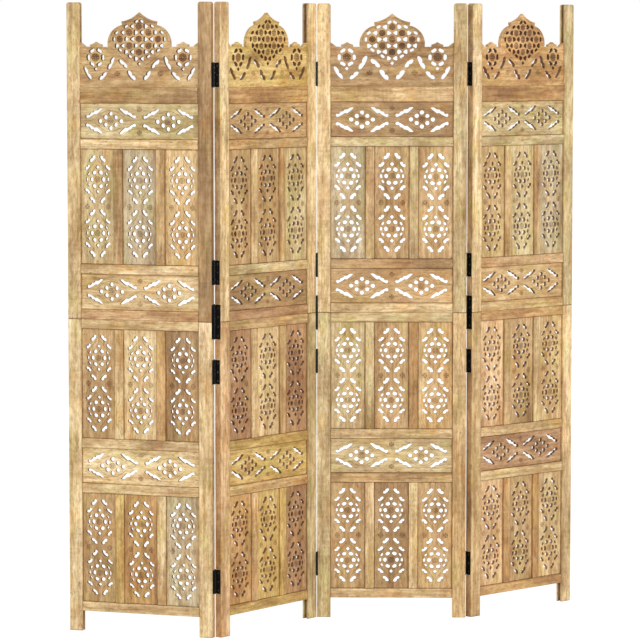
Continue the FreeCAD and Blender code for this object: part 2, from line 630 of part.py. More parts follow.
def standing_frames():
    """Panel frames turned so that the row's two ends lie along X, and centred on the row's box."""
    trial = zigzag(0.0)
    start, end = plan_point(trial[0], 0, 0), plan_point(trial[-1], PANEL_WIDTH, 0)
    frames = zigzag(-math.degrees(math.atan2(end[1] - start[1], end[0] - start[0])))
    section = stile_section()
    section += [(PANEL_WIDTH - x, y) for x, y in section]
    corners = [plan_point(frame, x, y) for frame in frames for x, y in section]
    middle_x, middle_y = [(min(values) + max(values)) / 2 for values in zip(*corners)]
    return [(angle, x - middle_x, y - middle_y) for angle, x, y in frames]


def stood(shape, frame):
    """Copy of a panel's shape where the panel stands."""
    angle, x, y = frame
    return moved(rotated(shape, UP, angle), Vector(x, y, 0))


# The nodes

def panel_wood():
    """Wooden pieces of one panel, in the panel's own frame, before its hinges are fitted."""
    return {
        "left_stiles": stiles(False),
        "right_stiles": stiles(True),
        "dowels": dowels(),
        "lower_rails": [rail("bottom_rail", 0, 1), rail("lower_rail", 1, 1), rail("middle_rail", 1, 1),
                        rail("lower_seam_rail", 1, 0)],
        "upper_rails": [rail("upper_seam_rail", 0, 1), rail("upper_rail", 1, 1), rail("frieze_rail", 1, 1),
                        rail("crown_rail", 1, 1)],
        "muntins": muntins("lower_slats") + muntins("middle_slats") + muntins("upper_slats"),
        "lower_slats": slats("lower_slats"),
        "middle_slats": slats("middle_slats"),
        "upper_slats": slats("upper_slats"),
        "friezes": [frieze("lower_frieze"), frieze("middle_frieze"), frieze("top_frieze")],
        "crown_board": [crown_board()],
    }


def hinge_sets(side):
    """Leaves, pins, screws and stile cuts of one hinge line, on the edges of its two panels."""
    sets = {name: [] for name in ("left_leaves", "right_leaves", "pins", "left_screws", "right_screws",
                                  "left_cuts", "right_cuts")}
    fastener = screw()
    for middle_height, height, width, shares in hinge_rows():
        for edge, right_edge, first_knuckle in (("left", True, 0), ("right", False, 1)):
            plate = hinge_leaf(height, width, shares, first_knuckle)
            screws = [aimed(fastener, place) for place in screw_places(height, width, shares)]
            cuts = pilot_holes(height, width, shares) + leaf_bed(height, width)
            sets[edge + "_leaves"] += on_edge([plate], middle_height, right_edge, side)
            sets[edge + "_screws"] += on_edge(screws, middle_height, right_edge, side)
            sets[edge + "_cuts"] += on_edge(cuts, middle_height, right_edge, side)
        sets["pins"] += on_edge([hinge_pin(height)], middle_height, True, side)
    return sets


def fitted(stile_pair, cuts):
    """Stiles with the leaf beds and the screw holes of a hinge line cut in them."""
    return [stile.cut(cuts).Solids[0] for stile in stile_pair]


def build():
    """All nodes: name to the list of its solids, standing in the row."""
    frames = standing_frames()
    lines = [hinge_sets(side) for side in BARREL_SIDES]
    wood = panel_wood()
    nodes = {}
    for number, frame in enumerate(frames, start=1):
        pieces = dict(wood)
        if number > 1:
            pieces["left_stiles"] = fitted(wood["left_stiles"], lines[number - 2]["right_cuts"])
        if number <= len(lines):
            pieces["right_stiles"] = fitted(wood["right_stiles"], lines[number - 1]["left_cuts"])
        for name, solids in pieces.items():
            nodes[f"panel_{number}_{name}"] = [stood(solid, frame) for solid in solids]
    for number, line in enumerate(lines, start=1):
        left_frame, right_frame = frames[number - 1], frames[number]
        for name, frame in (("left_leaves", left_frame), ("pins", left_frame), ("left_screws", left_frame),
                            ("right_leaves", right_frame), ("right_screws", right_frame)):
            nodes[f"hinge_{number}_{number + 1}_{name}"] = [stood(solid, frame) for solid in line[name]]
    return frames, nodes


def main():
    """Write one file for each node, and print the hinge axes and the feet."""
    os.makedirs("parts", exist_ok=True)
    frames, nodes = build()
    for name, solids in nodes.items():
        shape = solids[0] if len(solids) == 1 else Part.makeCompound(solids)
        shape.exportStep(f"parts/{name}.step")
        sound = all(solid.isValid() for solid in solids)
        print(f"node {name}: {len(solids)} solids, {sum(s.Volume for s in solids):.1f} mm3, valid {sound}")
    for number, side in enumerate(BARREL_SIDES, start=1):
        x, y = plan_point(frames[number - 1], PANEL_WIDTH + PANEL_GAP / 2, side * AXIS_OFFSET)
        print(f"axis fold_{number}_{number + 1} {x:.6f} {y:.6f}")
    foot = (STILE_WIDTH - GROOVE_DEPTH) / 2
    for number, frame in enumerate(frames, start=1):
        for edge, across in (("left", foot), ("right", PANEL_WIDTH - foot)):
            x, y = plan_point(frame, across, 0)
            print(f"foot panel_{number}_{edge}_foot {x:.6f} {y:.6f}")
        print(f"panel panel_{number} stands at {frame[0]:.4f} degrees")


main()
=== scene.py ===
# %% [markdown]
# # A pierced folding screen
# Four wooden panels stand in a zigzag, hinged edge to edge with black butt hinges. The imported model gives
# each piece its place and its joints. This lesson makes the wooden pieces anew as numpy surfaces with eased
# edges, carved rosettes, rounded piercings and a grain of their own. Hinges, pins and screws get a finish.

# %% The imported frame
import json
from collections import namedtuple

import bpy
import numpy as np
from mathutils.geometry import delaunay_2d_cdt
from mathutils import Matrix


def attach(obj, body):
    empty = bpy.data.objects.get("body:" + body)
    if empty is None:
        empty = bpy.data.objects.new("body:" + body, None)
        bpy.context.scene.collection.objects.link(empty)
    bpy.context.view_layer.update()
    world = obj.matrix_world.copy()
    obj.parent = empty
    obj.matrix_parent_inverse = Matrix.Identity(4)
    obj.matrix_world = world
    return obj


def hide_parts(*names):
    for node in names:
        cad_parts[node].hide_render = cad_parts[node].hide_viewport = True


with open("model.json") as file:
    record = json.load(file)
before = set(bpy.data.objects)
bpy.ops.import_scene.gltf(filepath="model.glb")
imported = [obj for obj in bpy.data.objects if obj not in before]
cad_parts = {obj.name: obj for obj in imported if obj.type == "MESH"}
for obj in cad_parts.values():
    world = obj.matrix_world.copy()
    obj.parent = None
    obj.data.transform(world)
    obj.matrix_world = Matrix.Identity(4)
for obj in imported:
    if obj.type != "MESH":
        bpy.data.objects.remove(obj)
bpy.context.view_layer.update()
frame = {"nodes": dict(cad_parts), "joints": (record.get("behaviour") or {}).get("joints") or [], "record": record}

# %% [markdown]
# ## Sizes
# A joiner first draws one panel on a rod: how wide the stiles are, and how high each rail, frieze and tier
# of slats sits. All four panels share the rod. Sizes are in metres, and heights are stacked from the floor
# up. A panel's own frame has X across from its left edge, Y to the back from its middle plane, and Z up.

# %% The rod of one panel
MM = 0.001
PANEL_WIDTH, PANEL_HEIGHT = 400 * MM, 1650 * MM
SEAM_HEIGHT = PANEL_HEIGHT / 2
STILE_WIDTH, STILE_THICKNESS, POST_TOP_RADIUS = 36 * MM, 20 * MM, 7 * MM
RAIL_HEIGHT, RAIL_THICKNESS, CROWN_RAIL_HEIGHT = 25 * MM, 18 * MM, 41 * MM
LEG_HEIGHT, FRIEZE_HEIGHT, CROWN_HEIGHT = 53 * MM, 94 * MM, 193.5 * MM
LOWER_SLAT_HEIGHT, UPPER_SLAT_HEIGHT = 289 * MM, 301 * MM
MUNTIN_WIDTH, SLAT_COUNT = 24 * MM, 3
BOARD_THICKNESS, CROWN_THICKNESS = 9 * MM, 11 * MM
GROOVE_DEPTH, GROOVE_WIDTH, TONGUE_LENGTH = 8 * MM, 9.4 * MM, 7.6 * MM
SMALL_HINGE_HEIGHT, LARGE_HINGE_HEIGHT, HINGE_END, HINGE_HOLLOW = 63 * MM, 90 * MM, 1.5 * MM, 3.3 * MM
SMALL_HINGE_SHARES = (0.177, 0.842, 1.155, 1.773)
OPENING_WIDTH = PANEL_WIDTH - 2 * STILE_WIDTH
SLAT_WIDTH = (OPENING_WIDTH - (SLAT_COUNT - 1) * MUNTIN_WIDTH) / SLAT_COUNT


def levels(start, **heights):
    """Low and high edge of each piece of a stack: running sums of the heights, from the start up."""
    edges = start + np.concatenate(([0], np.cumsum(list(heights.values()))))
    return dict(zip(heights, zip(edges[:-1], edges[1:])))


LEVELS = levels(LEG_HEIGHT, bottom_rail=RAIL_HEIGHT, lower_slats=LOWER_SLAT_HEIGHT, lower_rail=RAIL_HEIGHT,
                lower_frieze=FRIEZE_HEIGHT, middle_rail=RAIL_HEIGHT, middle_slats=LOWER_SLAT_HEIGHT,
                lower_seam_rail=RAIL_HEIGHT)
LEVELS.update(levels(SEAM_HEIGHT, upper_seam_rail=RAIL_HEIGHT, middle_frieze=FRIEZE_HEIGHT,
                     upper_rail=RAIL_HEIGHT, upper_slats=UPPER_SLAT_HEIGHT, frieze_rail=RAIL_HEIGHT,
                     top_frieze=FRIEZE_HEIGHT, crown_rail=CROWN_RAIL_HEIGHT))
SLAT_STARTS = STILE_WIDTH + np.arange(SLAT_COUNT) * (SLAT_WIDTH + MUNTIN_WIDTH)
print("crown rail from", LEVELS["crown_rail"][0], "to", LEVELS["crown_rail"][1], "slat width", SLAT_WIDTH)

# %% [markdown]
# ## Where the panels stand
# Each panel rests on two feet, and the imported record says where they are. The line from the left foot to the
# right one gives the panel's direction, so no angle is written down twice.

# %% Panel frames from the feet
FEET = {mount["name"]: np.array(mount["pos_m"]) for mount in frame["record"]["mounts"]}
PANEL_COUNT = len(FEET) // 2


def panel_place(number):
    """Left edge of a panel on the floor, and its axes: across between its feet, back, and up."""
    left, right = (FEET[f"panel_{number}_{side}_foot"] for side in ("left", "right"))
    across = (right - left) / np.linalg.norm(right - left)
    axes = np.array((across, (-across[1], across[0], 0.0), (0.0, 0.0, 1.0)))
    return (left + right) / 2 - across * PANEL_WIDTH / 2, axes


PLACES = {number: panel_place(number) for number in range(1, PANEL_COUNT + 1)}
for number, (origin, axes) in PLACES.items():
    print("panel", number, "stands at", np.degrees(np.arctan2(axes[0, 1], axes[0, 0])).round(2), "degrees")

# %% [markdown]
# ## Patches of surface
# A piece is sewn from patches: the wall of a piercing, a rosette, the flat field between them. A patch has
# points, faces of four corners (a triangle has one twice) and the wear and shade of each point: towards 1 in
# a hollow darkened by dirt and painted shade, below 0 on an edge that is rubbed pale. One welding at the end
# closes every seam and pole.

# %% Joining and welding patches
Patch = namedtuple("Patch", "points faces wear smooth")
WELD, FILL_INSIDE, FILL_EPSILON = 1e-7, 1, 1e-6


def patch(points, faces, wear=0.0, smooth=True):
    """Patch from arrays of points and of faces, with the wear and painted shade of each point."""
    points, faces = points.reshape(-1, 3), faces.reshape(-1, 4)
    return Patch(points, faces, np.broadcast_to(wear, len(points)), np.full(len(faces), smooth))


def joined(patches):
    """One patch of several: corners are counted on past the points of the patches before them."""
    starts = np.cumsum([0] + [len(one.points) for one in patches[:-1]])
    moved = [one._replace(faces=one.faces + start) for one, start in zip(patches, starts)]
    return Patch(*(np.concatenate(arrays) for arrays in zip(*moved)))


def welded(one):
    """The patch with points in the same place made one."""
    keys = np.round(one.points / WELD).astype(np.int64)
    _, first, back = np.unique(keys, axis=0, return_index=True, return_inverse=True)
    return one._replace(points=one.points[first], faces=back.reshape(-1)[one.faces], wear=one.wear[first])


def carried(rings, wear):
    """Surfaces through closed rings: an array (shapes, rings, points, 3), with the wear and painted shade of
    each ring or point. Seen from the open side the points run anticlockwise and the rings go inwards or down."""
    here = np.arange(rings[..., 0].size).reshape(rings.shape[:-1])
    following = np.roll(here, -1, axis=-1)
    faces = np.stack((here[:, :-1], following[:, :-1], following[:, 1:], here[:, 1:]), axis=-1)
    return patch(rings, faces, np.broadcast_to(wear, here.shape).reshape(-1))


def outward(outlines):
    """Unit normals of closed anticlockwise outlines: the chord between the neighbours, turned right."""
    chord = np.roll(outlines, -1, axis=-2) - np.roll(outlines, 1, axis=-2)
    normal = np.stack((chord[..., 1], -chord[..., 0]), axis=-1)
    return normal / np.linalg.norm(normal, axis=-1, keepdims=True)


def anticlockwise(outlines):
    """Closed outlines, each reversed if its signed area is negative."""
    x, z = outlines[..., 0], outlines[..., 1]
    area = (x * np.roll(z, -1, axis=-1) - z * np.roll(x, -1, axis=-1)).sum(axis=-1)
    return np.where((area < 0)[..., None, None], outlines[..., ::-1, :], outlines)


def at_depth(flat, depth):
    """Points (x, z) of a face, at a depth below it."""
    return np.stack((flat[..., 0], np.broadcast_to(depth, flat.shape[:-1]), flat[..., 1]), axis=-1)


def filled(loops):
    """Flat field inside the first closed loop and outside the others, as (points, faces): the Delaunay
    triangles that have the loops among their edges and lie in the first loop alone."""
    points = np.concatenate(loops)
    ends = np.cumsum([len(loop) for loop in loops])
    outlines = [part.tolist() for part in np.split(np.arange(len(points)), ends[:-1])]
    corners, _, triangles, origins, _, owners = delaunay_2d_cdt(
        (points / MM).tolist(), [], outlines, FILL_INSIDE, FILL_EPSILON)
    field = np.array([corner[:] for corner in corners]) * MM
    known = np.array([origin[0] if origin else -1 for origin in origins])
    field[known >= 0] = points[known[known >= 0]]
    faces = np.array([[a, b, c, c] for (a, b, c), loop in zip(triangles, owners) if len(loop) == 1])
    a, b, c, _ = np.moveaxis(field[faces], 1, 0)
    turn = (b[:, 0] - a[:, 0]) * (c[:, 1] - a[:, 1]) - (b[:, 1] - a[:, 1]) * (c[:, 0] - a[:, 0])
    faces[turn < 0] = faces[turn < 0][:, ::-1]
    return field, faces


print("patch tools ready")

# %% [markdown]
# ## Tones of the boards
# The screen is sawn from a pale, streaky hardwood: cream, honey, yellow, grey, brown and pinkish boards
# stand side by side. So each board carries two tones, and the finish lets one drift into the other. A letter
# names a pair of tones, and a table gives each board of the four panels its letter.

# %% Pairs of tones, and the letter of each board
WOOD_TONES = {
    "p": ((244, 214, 168), (226, 192, 142)),
    "s": ((232, 200, 153), (212, 178, 130)),
    "h": ((222, 186, 136), (200, 162, 112)),
    "b": ((208, 170, 122), (182, 144, 98)),
    "d": ((190, 152, 108), (160, 124, 84)),
    "y": ((222, 186, 120), (198, 160, 94)),
    "v": ((216, 190, 144), (194, 166, 120)),
    "g": ((210, 186, 150), (184, 160, 126)),
    "o": ((212, 166, 112), (184, 138, 88)),
    "m": ((194, 150, 110), (164, 120, 84)),
    "k": ((236, 196, 150), (214, 170, 124)),
}
BOARD_LETTERS = {
    "left_stiles": ("ps", "kp", "vp", "hp"),
    "right_stiles": ("pd", "vp", "hv", "sv"),
    "lower_rails": ("ppss", "yhyb", "sbsv", "osho"),
    "upper_rails": ("kspb", "mvbo", "sdvh", "hkvo"),
    "muntins": ("yppobb", "kyphsh", "spvobv", "oohshb"),
    "lower_slats": ("bog", "oym", "bdb", "kbs"),
    "middle_slats": ("bsd", "msm", "vbh", "kbh"),
    "upper_slats": ("vgh", "bbv", "gbb", "hvg"),
    "friezes": ("psv", "ydb", "vbd", "mhv"),
    "crown_board": ("b", "y", "d", "o"),
}


def linear(tone):
    """Linear red, green and blue of a tone in sRGB screen values from 0 to 255."""
    shares = np.asarray(tone, float) / 255
    return np.where(shares <= 0.04045, shares / 12.92, ((shares + 0.055) / 1.055) ** 2.4)


print("tones", len(WOOD_TONES), "lettered nodes", len(BOARD_LETTERS))

# %% [markdown]
# ## From patches to a piece
# A node of the imported model can hold several solids, such as the slats of a tier. Their patches become one
# mesh in the row's frame. With its points travel the place along, across and through the grain, the board's
# two tones, and the wear with the painted shade. The finish reads them later, so the grain turns with each board.

# %% Solids with grain, and the piece that stands for a node
Solid = namedtuple("Solid", "shape grain tones")
UPRIGHT, LEVEL = (2, 0, 1), (0, 2, 1)
GRAIN_SPREAD, TONE_SPREAD = 7.0, (0.96, 1.04)
LAYER_SHARES = np.array((0.655, 0.573, 0.52))
SLOTS = {part["node"]: part["material_slot"] for part in frame["record"]["subparts"]}
PIECES = {}


def seed(name):
    """Random numbers that are the same on every run, from the letters of a name."""
    return np.random.default_rng([ord(letter) for letter in name])


def solid(shape, way, letter, chance):
    """Closed patch with the grain along Z (upright) or X (level), from a place of its own in the tree. The
    layers of the finish leave a share of the light that the tones give back, so the tones start brighter."""
    grain = shape.points[:, way] + chance.uniform(0, GRAIN_SPREAD, 3)
    tones = [linear(tone) * chance.uniform(*TONE_SPREAD) / LAYER_SHARES for tone in WOOD_TONES[letter]]
    return Solid(shape, grain, [np.tile((*tone, 1.0), (len(grain), 1)) for tone in tones])


def wooden_mesh(name, number, solids):
    """Mesh of a panel's solids with their attributes. A corner that repeats the next one is left out, and so
    is a face that has fewer than three corners left."""
    whole = joined([one.shape for one in solids])
    origin, axes = PLACES[number]
    corners = whole.faces != np.roll(whole.faces, -1, axis=1)
    sound = corners.sum(axis=1) > 2
    sizes = corners[sound].sum(axis=1)
    mesh = bpy.data.meshes.new(name)
    mesh.vertices.add(len(whole.points))
    mesh.vertices.foreach_set("co", (origin + whole.points @ axes).ravel())
    mesh.loops.add(sizes.sum())
    mesh.loops.foreach_set("vertex_index", whole.faces[sound][corners[sound]])
    mesh.polygons.add(len(sizes))
    mesh.polygons.foreach_set("loop_start", np.cumsum(sizes) - sizes)
    mesh.polygons.foreach_set("use_smooth", whole.smooth[sound])
    mesh.update(calc_edges=True)
    grain = [one.grain for one in solids]
    light, deep = ([one.tones[layer] for one in solids] for layer in (0, 1))
    for attribute, kind, field, values in (("grain", "FLOAT_VECTOR", "vector", grain),
                                           ("wear", "FLOAT", "value", [whole.wear]),
                                           ("tone_light", "FLOAT_COLOR", "color", light),
                                           ("tone_deep", "FLOAT_COLOR", "color", deep)):
        made = mesh.attributes.new(attribute, kind, "POINT")
        made.data.foreach_set(field, np.concatenate(values).ravel())
    return mesh


def placed(name, data, place=(0, 0, 0), turn=(0, 0, 0)):
    """Object of some data in the scene, at a place and turned."""
    made = bpy.data.objects.new(name, data)
    made.location, made.rotation_euler = place, turn
    bpy.context.scene.collection.objects.link(made)
    return made


def dress(number, kind, way, make, *details):
    """Piece that rides on a panel and stands for its node of a kind: the shapes from make, each in the tones
    of its board's letter."""
    node = f"panel_{number}_{kind}"
    chance = seed(node)
    letters = BOARD_LETTERS[kind][number - 1]
    shapes = make(chance, *details)
    solids = [solid(shape, way, letter, chance) for shape, letter in zip(shapes, letters)]
    piece = placed(node + "_wood", wooden_mesh(node + "_wood", number, solids))
    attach(piece, f"panel_{number}")
    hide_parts(node)
    PIECES[node] = piece


print("grain along", UPRIGHT, "for upright timbers and", LEVEL, "for level ones")

# %% [markdown]
# ## Frame timbers
# Stiles, rails and muntins are planed sticks with grooves for the boards. A section is drawn as a closed
# line with eased corners, and carried along the stick with the slow waviness of hand planing. Dirt and
# painted shade in the mouth and bed of the groove draw the dark joint lines of the real frame.

# %% Sections and sticks
EASE, HINGE_EASE, END_EASE = 1.3 * MM, 0.3 * MM, 0.8 * MM
EASE_STEPS = np.linspace(0, 1, 4)
STICK_SPACING, WAVINESS, HOLLOW_STEP = 14 * MM, 0.06 * MM, 0.05 * MM
WAVE_RADIANS_PER_METRE = (4, 16)
# The mouth of a groove gets dirt and painted shade, and its bed painted shade: the dark joint lines of the frame.
MOUTH_DIRT_AND_SHADE, BED_SHADE, RUBBED, GRIMY, HINGE_EDGE_SHADE, TOP_WEAR = 0.40, 0.65, -0.7, 0.40, 0.42, 0.25
# The third column of the end steps darkens the ends of a stick: dirt and painted shade of the seams and joints.
END_STEPS = np.array(((1.0, 0.0, 0.9), (0.3, 0.3, 0.8), (0.0, 1.0, 0.6), (0.0, 3.4, 0.0)))
TOP_STEPS = 1 - np.sin(np.linspace(0, np.pi / 2, 8))


def section(corners):
    """Closed section from (across, through, ease, wear and shade) corners: an eased corner p becomes the curve
    (1-t)^2 a + 2t(1-t) p + t^2 b between points a and b on its two sides; the rest stay sharp."""
    places = np.array([corner[:2] for corner in corners])
    points, wear, flat = [], [], []
    for here, (_, _, ease, dirt_and_shade) in enumerate(corners):
        corner = places[here]
        before, after = places[here - 1] - corner, places[(here + 1) % len(corners)] - corner
        a, b = (corner + way / np.linalg.norm(way) * ease for way in (before, after))
        steps = EASE_STEPS if ease else EASE_STEPS[:1]
        t = steps[:, None]
        points.append((1 - t) ** 2 * a + 2 * t * (1 - t) * corner + t ** 2 * b)
        wear.append(dirt_and_shade * np.sin(np.pi * steps) if ease else np.array([dirt_and_shade]))
        flat.append(np.arange(len(steps)) == len(steps) - 1)
    return np.concatenate(points), np.concatenate(wear), np.concatenate(flat)


def stick(outline, low, high, chance, top_radius=0.0, hollows=()):
    """Section carried from low to high along the third axis. Both ends are drawn in along its normals, and
    between them it sways with the mean of three slow sines. With a top radius r its width closes over the
    top as a quarter circle, r - sqrt(r^2 - h^2) on each side. A hollow is the place of a hinge's axis and a
    span of heights, where what lies too near the axis is pushed out to a circle round it."""
    points, wear, flat = outline
    start = END_STEPS * (END_EASE, END_EASE, 1.0)
    finish = start[::-1]
    if top_radius:
        finish = np.stack((0 * TOP_STEPS, top_radius * TOP_STEPS, TOP_WEAR * (1 - TOP_STEPS)), axis=1)
    foot, head = low + start[-1, 1], high - finish[0, 1]
    run = np.linspace(foot, head, max(int((high - low) / STICK_SPACING), 3))[1:-1]
    for _, span in hollows:
        run = np.concatenate((run, (span[0] - HOLLOW_STEP, span[0], span[1], span[1] + HOLLOW_STEP)))
    run = np.sort(run[(run > foot) & (run < head)])
    heights = np.concatenate((low + start[:, 1], run, high - finish[:, 1]))
    inset, dirt_and_shade = (np.concatenate((start[:, n], 0 * run, finish[:, n]))[:, None] for n in (0, 2))
    phases = chance.uniform(0, 2 * np.pi, (2, 3))
    waves = chance.uniform(*WAVE_RADIANS_PER_METRE, (2, 3))
    sway = WAVINESS * np.sin(heights[:, None, None] * waves + phases).mean(axis=2)
    grid = points - inset[..., None] * outward(points) + sway[:, None, :]
    if top_radius:
        rise = np.clip(heights - (high - top_radius), 0, top_radius)
        near = (top_radius - np.sqrt(top_radius ** 2 - rise ** 2))[:, None]
        middle = (points[:, 0].min() + points[:, 0].max()) / 2
        reach = np.ptp(points[:, 0]) / 2 - near
        grid[:, :, 0] = np.clip(grid[:, :, 0], middle - reach, middle + reach)
    for axis, span in hollows:
        inside = (heights >= span[0]) & (heights <= span[1])
        arm = grid[inside] - axis
        reach = np.linalg.norm(arm, axis=-1, keepdims=True)
        grid[inside] = axis + arm * np.maximum(HINGE_HOLLOW / reach, 1)
    rings = np.concatenate((grid, np.broadcast_to(heights[:, None, None], (*grid.shape[:2], 1))), axis=2)
    side = carried(rings[None], np.where(dirt_and_shade > 0, np.maximum(wear, dirt_and_shade), wear))
    side = side._replace(smooth=np.tile(~flat, len(heights) - 1))
    caps = []
    for ring, step in ((rings[0], -1), (rings[-1], 1)):
        field, faces = filled([ring[:, :2]])
        level = np.full((len(field), 1), ring[0, 2])
        caps.append(patch(np.hstack((field, level)), faces[:, ::step], smooth=False))
    return welded(joined([side] + caps))


def grooved(low, high, thickness, below, above, low_edge=GRIMY, low_face=0.0, low_ease=EASE):
    """Section of a stick between two edges, with a board groove in its low edge, its high edge or both, or
    with painted shade on the face of its low edge. It is planed down by the waviness, to stay in its place."""
    half, groove = thickness / 2 - WAVINESS, GROOVE_WIDTH / 2
    low, high = low + WAVINESS, high - WAVINESS
    mouths = []
    for edge, bed, side in ((low, low + GROOVE_DEPTH, groove), (high, high - GROOVE_DEPTH, -groove)):
        mouths.append([(edge, side, 0, MOUTH_DIRT_AND_SHADE), (bed, side, 0, BED_SHADE),
                       (bed, -side, 0, BED_SHADE), (edge, -side, 0, MOUTH_DIRT_AND_SHADE)])
    corners = [(low, -half, low_ease, low_edge), (high, -half, EASE, GRIMY)] + mouths[1] * above
    corners += [(high, half, EASE, GRIMY), (low, half, low_ease, low_edge)] + mouths[0] * below
    if low_face:
        corners += [(low, half - 2 * EASE, 0, low_face), (low, 2 * EASE - half, 0, low_face)]
    return section(corners)


print("stick section of", len(grooved(0, STILE_WIDTH, STILE_THICKNESS, False, True)[0]), "points")

# %% [markdown]
# ## Stiles
# Each side of a panel has a lower and an upper stile, one stood on the other at the seam, with a groove
# along the whole inner edge. Right stiles are left ones turned half round. Where a hinge sits, the outer
# corner has a hollow that clears its barrel, and the joints say where its axis is.

# %% Stiles of the four panels
HINGES = [(SEAM_HEIGHT * share, SMALL_HINGE_HEIGHT) for share in SMALL_HINGE_SHARES]
HINGES.append((SEAM_HEIGHT, LARGE_HINGE_HEIGHT))
HINGE_SPANS = [(middle - height / 2 - HINGE_END, middle + height / 2 + HINGE_END)
               for middle, height in HINGES]


def turned_round(points):
    """Points turned half round in plan, from one edge of the panel to the other."""
    return np.array((PANEL_WIDTH, 0, 0)) + points * (-1, -1, 1)


def hinge_hollows(number, side):
    """Hollows of a panel's left or right stiles, in the left stiles' frame: none at the ends of the row."""
    fold = f"fold_{number - 1}_{number}" if side == "left" else f"fold_{number}_{number + 1}"
    origin, axes = PLACES[number]
    hollows = []
    for joint in frame["joints"]:
        if joint["name"] == fold:
            place = axes @ (np.array(joint["pos_m"]) - origin)
            place = turned_round(place) if side == "right" else place
            hollows += [(place[:2], span) for span in HINGE_SPANS]
    return hollows


def stiles(chance, number, side):
    """Lower stile with a square foot and upper stile with a rounded top, in the panel's frame."""
    hollows = hinge_hollows(number, side)
    # On a hinge side the edge face gets painted shade, for the shadow between two panels; an outer edge is rubbed
    # pale.
    edge = (GRIMY, HINGE_EDGE_SHADE, HINGE_EASE) if hollows else (RUBBED, 0.0, EASE)
    outline = grooved(0, STILE_WIDTH, STILE_THICKNESS, False, True, *edge)
    shapes = [stick(outline, 0, SEAM_HEIGHT, chance, 0.0, hollows),
              stick(outline, SEAM_HEIGHT, PANEL_HEIGHT, chance, POST_TOP_RADIUS, hollows)]
    if side == "right":
        shapes = [shape._replace(points=turned_round(shape.points)) for shape in shapes]
    return shapes


for number in PLACES:
    for side in ("left", "right"):
        dress(number, f"{side}_stiles", UPRIGHT, stiles, number, side)
print("stile pieces", len(PIECES), "faces of one", len(PIECES["panel_1_left_stiles"].data.polygons))

# %% [markdown]
# ## Rails and muntins
# Rails lie between the stiles, muntins stand between the slats. Both are the same grooved stick. A rail is
# drawn standing and laid down by swapping its axes, with one sign changed so that it isn't mirrored.

# %% Rails and muntins of the four panels
RAILS = {
    "lower_rails": {"bottom_rail": (0, 1), "lower_rail": (1, 1), "middle_rail": (1, 1),
                    "lower_seam_rail": (1, 0)},
    "upper_rails": {"upper_seam_rail": (0, 1), "upper_rail": (1, 1), "frieze_rail": (1, 1),
                    "crown_rail": (1, 1)},
}
TIERS = ("lower_slats", "middle_slats", "upper_slats")


def rails(chance, kind):
    """Rails between the stiles, each grooved below, above or both: sticks with their height as the first
    axis, laid down along X."""
    for name, grooves in RAILS[kind].items():
        outline = grooved(*LEVELS[name], RAIL_THICKNESS, *grooves)
        upright = stick(outline, STILE_WIDTH, PANEL_WIDTH - STILE_WIDTH, chance)
        yield upright._replace(points=upright.points[:, (2, 1, 0)] * (1, -1, 1))


def muntins(chance):
    """Muntins of the three tiers, at the right of each slat but the last, grooved on both edges."""
    return [stick(grooved(start + SLAT_WIDTH, start + SLAT_WIDTH + MUNTIN_WIDTH, RAIL_THICKNESS, True, True),
                  *LEVELS[tier], chance) for tier in TIERS for start in SLAT_STARTS[:-1]]


for number in PLACES:
    for kind in RAILS:
        dress(number, kind, LEVEL, rails, kind)
    dress(number, "muntins", UPRIGHT, muntins)
print("pieces so far", len(PIECES))

# %% [markdown]
# ## Outlines of the piercings
# The carver works with a few shapes: round holes that swell two, three or four times in a turn become beans,
# hearts and diamonds, and leaves and feathers are drawn through a handful of points. All are arrays of
# closed outlines, in shares of the pattern's own unit.

# %% Lobed holes, leaves and feathers
LOBE_POINTS, CURVE_STEPS = 22, 3
LEAF_OUTLINE_SHARES = ((-1.0, 0.0), (-0.75, -0.75), (0.0, -1.0), (0.75, -0.7), (1.0, 0.1), (0.72, 0.8),
                       (0.32, 0.85), (0.05, 0.4), (-0.25, 0.9), (-0.7, 0.75))
FEATHER_OUTLINE_SHARES = ((0.0, -0.03), (0.05, -0.08), (0.30, -0.08), (0.48, -0.05), (0.57, -0.11),
                          (0.80, -0.06), (1.0, 0.02), (0.84, 0.10), (0.70, 0.07), (0.52, 0.12),
                          (0.44, 0.07), (0.31, 0.10), (0.18, 0.03), (0.08, 0.095), (0.0, 0.05))


def spokes(angles):
    """Unit vectors at angles in radians."""
    return np.stack((np.cos(angles), np.sin(angles)), axis=-1)


def lobed(centres, radius, lobes=0, swell=0.0, turns=0.0, dent=0.0):
    """Round holes about centres: at angle a the radius is r (1 + dent cos a + swell cos(lobes a))."""
    angle = np.linspace(0, 2 * np.pi, LOBE_POINTS, endpoint=False)
    reach = radius * (1 + dent * np.cos(angle) + swell * np.cos(lobes * angle))
    way = angle + np.radians(np.atleast_1d(turns))[:, None]
    return np.atleast_2d(centres)[:, None, :] + reach[:, None] * spokes(way)


def rounded(points):
    """Closed Catmull-Rom curve: from p1 to p2 the cubic with slopes (p2 - p0) / 2 and (p3 - p1) / 2."""
    p0, p1, p2, p3 = (np.roll(points, shift, axis=0)[:, None, :] for shift in (1, 0, -1, -2))
    t = np.linspace(0, 1, CURVE_STEPS, endpoint=False)[None, :, None]
    cubic = (2 * p1 + (p2 - p0) * t + (2 * p0 - 5 * p1 + 4 * p2 - p3) * t ** 2
             + (3 * p1 - p0 - 3 * p2 + p3) * t ** 3) / 2
    return cubic.reshape(-1, 2)


def laid(outline, origin, towards, along_unit, across_unit):
    """Outline of (along, across) shares laid from an origin towards a point, as one rounded outline."""
    origin, towards, outline = np.array(origin), np.array(towards), np.array(outline)
    along = (towards - origin) / np.linalg.norm(towards - origin)
    across = np.array((-along[1], along[0]))
    points = origin + outline[:, :1] * along_unit * along + outline[:, 1:] * across_unit * across
    return rounded(points)[None]


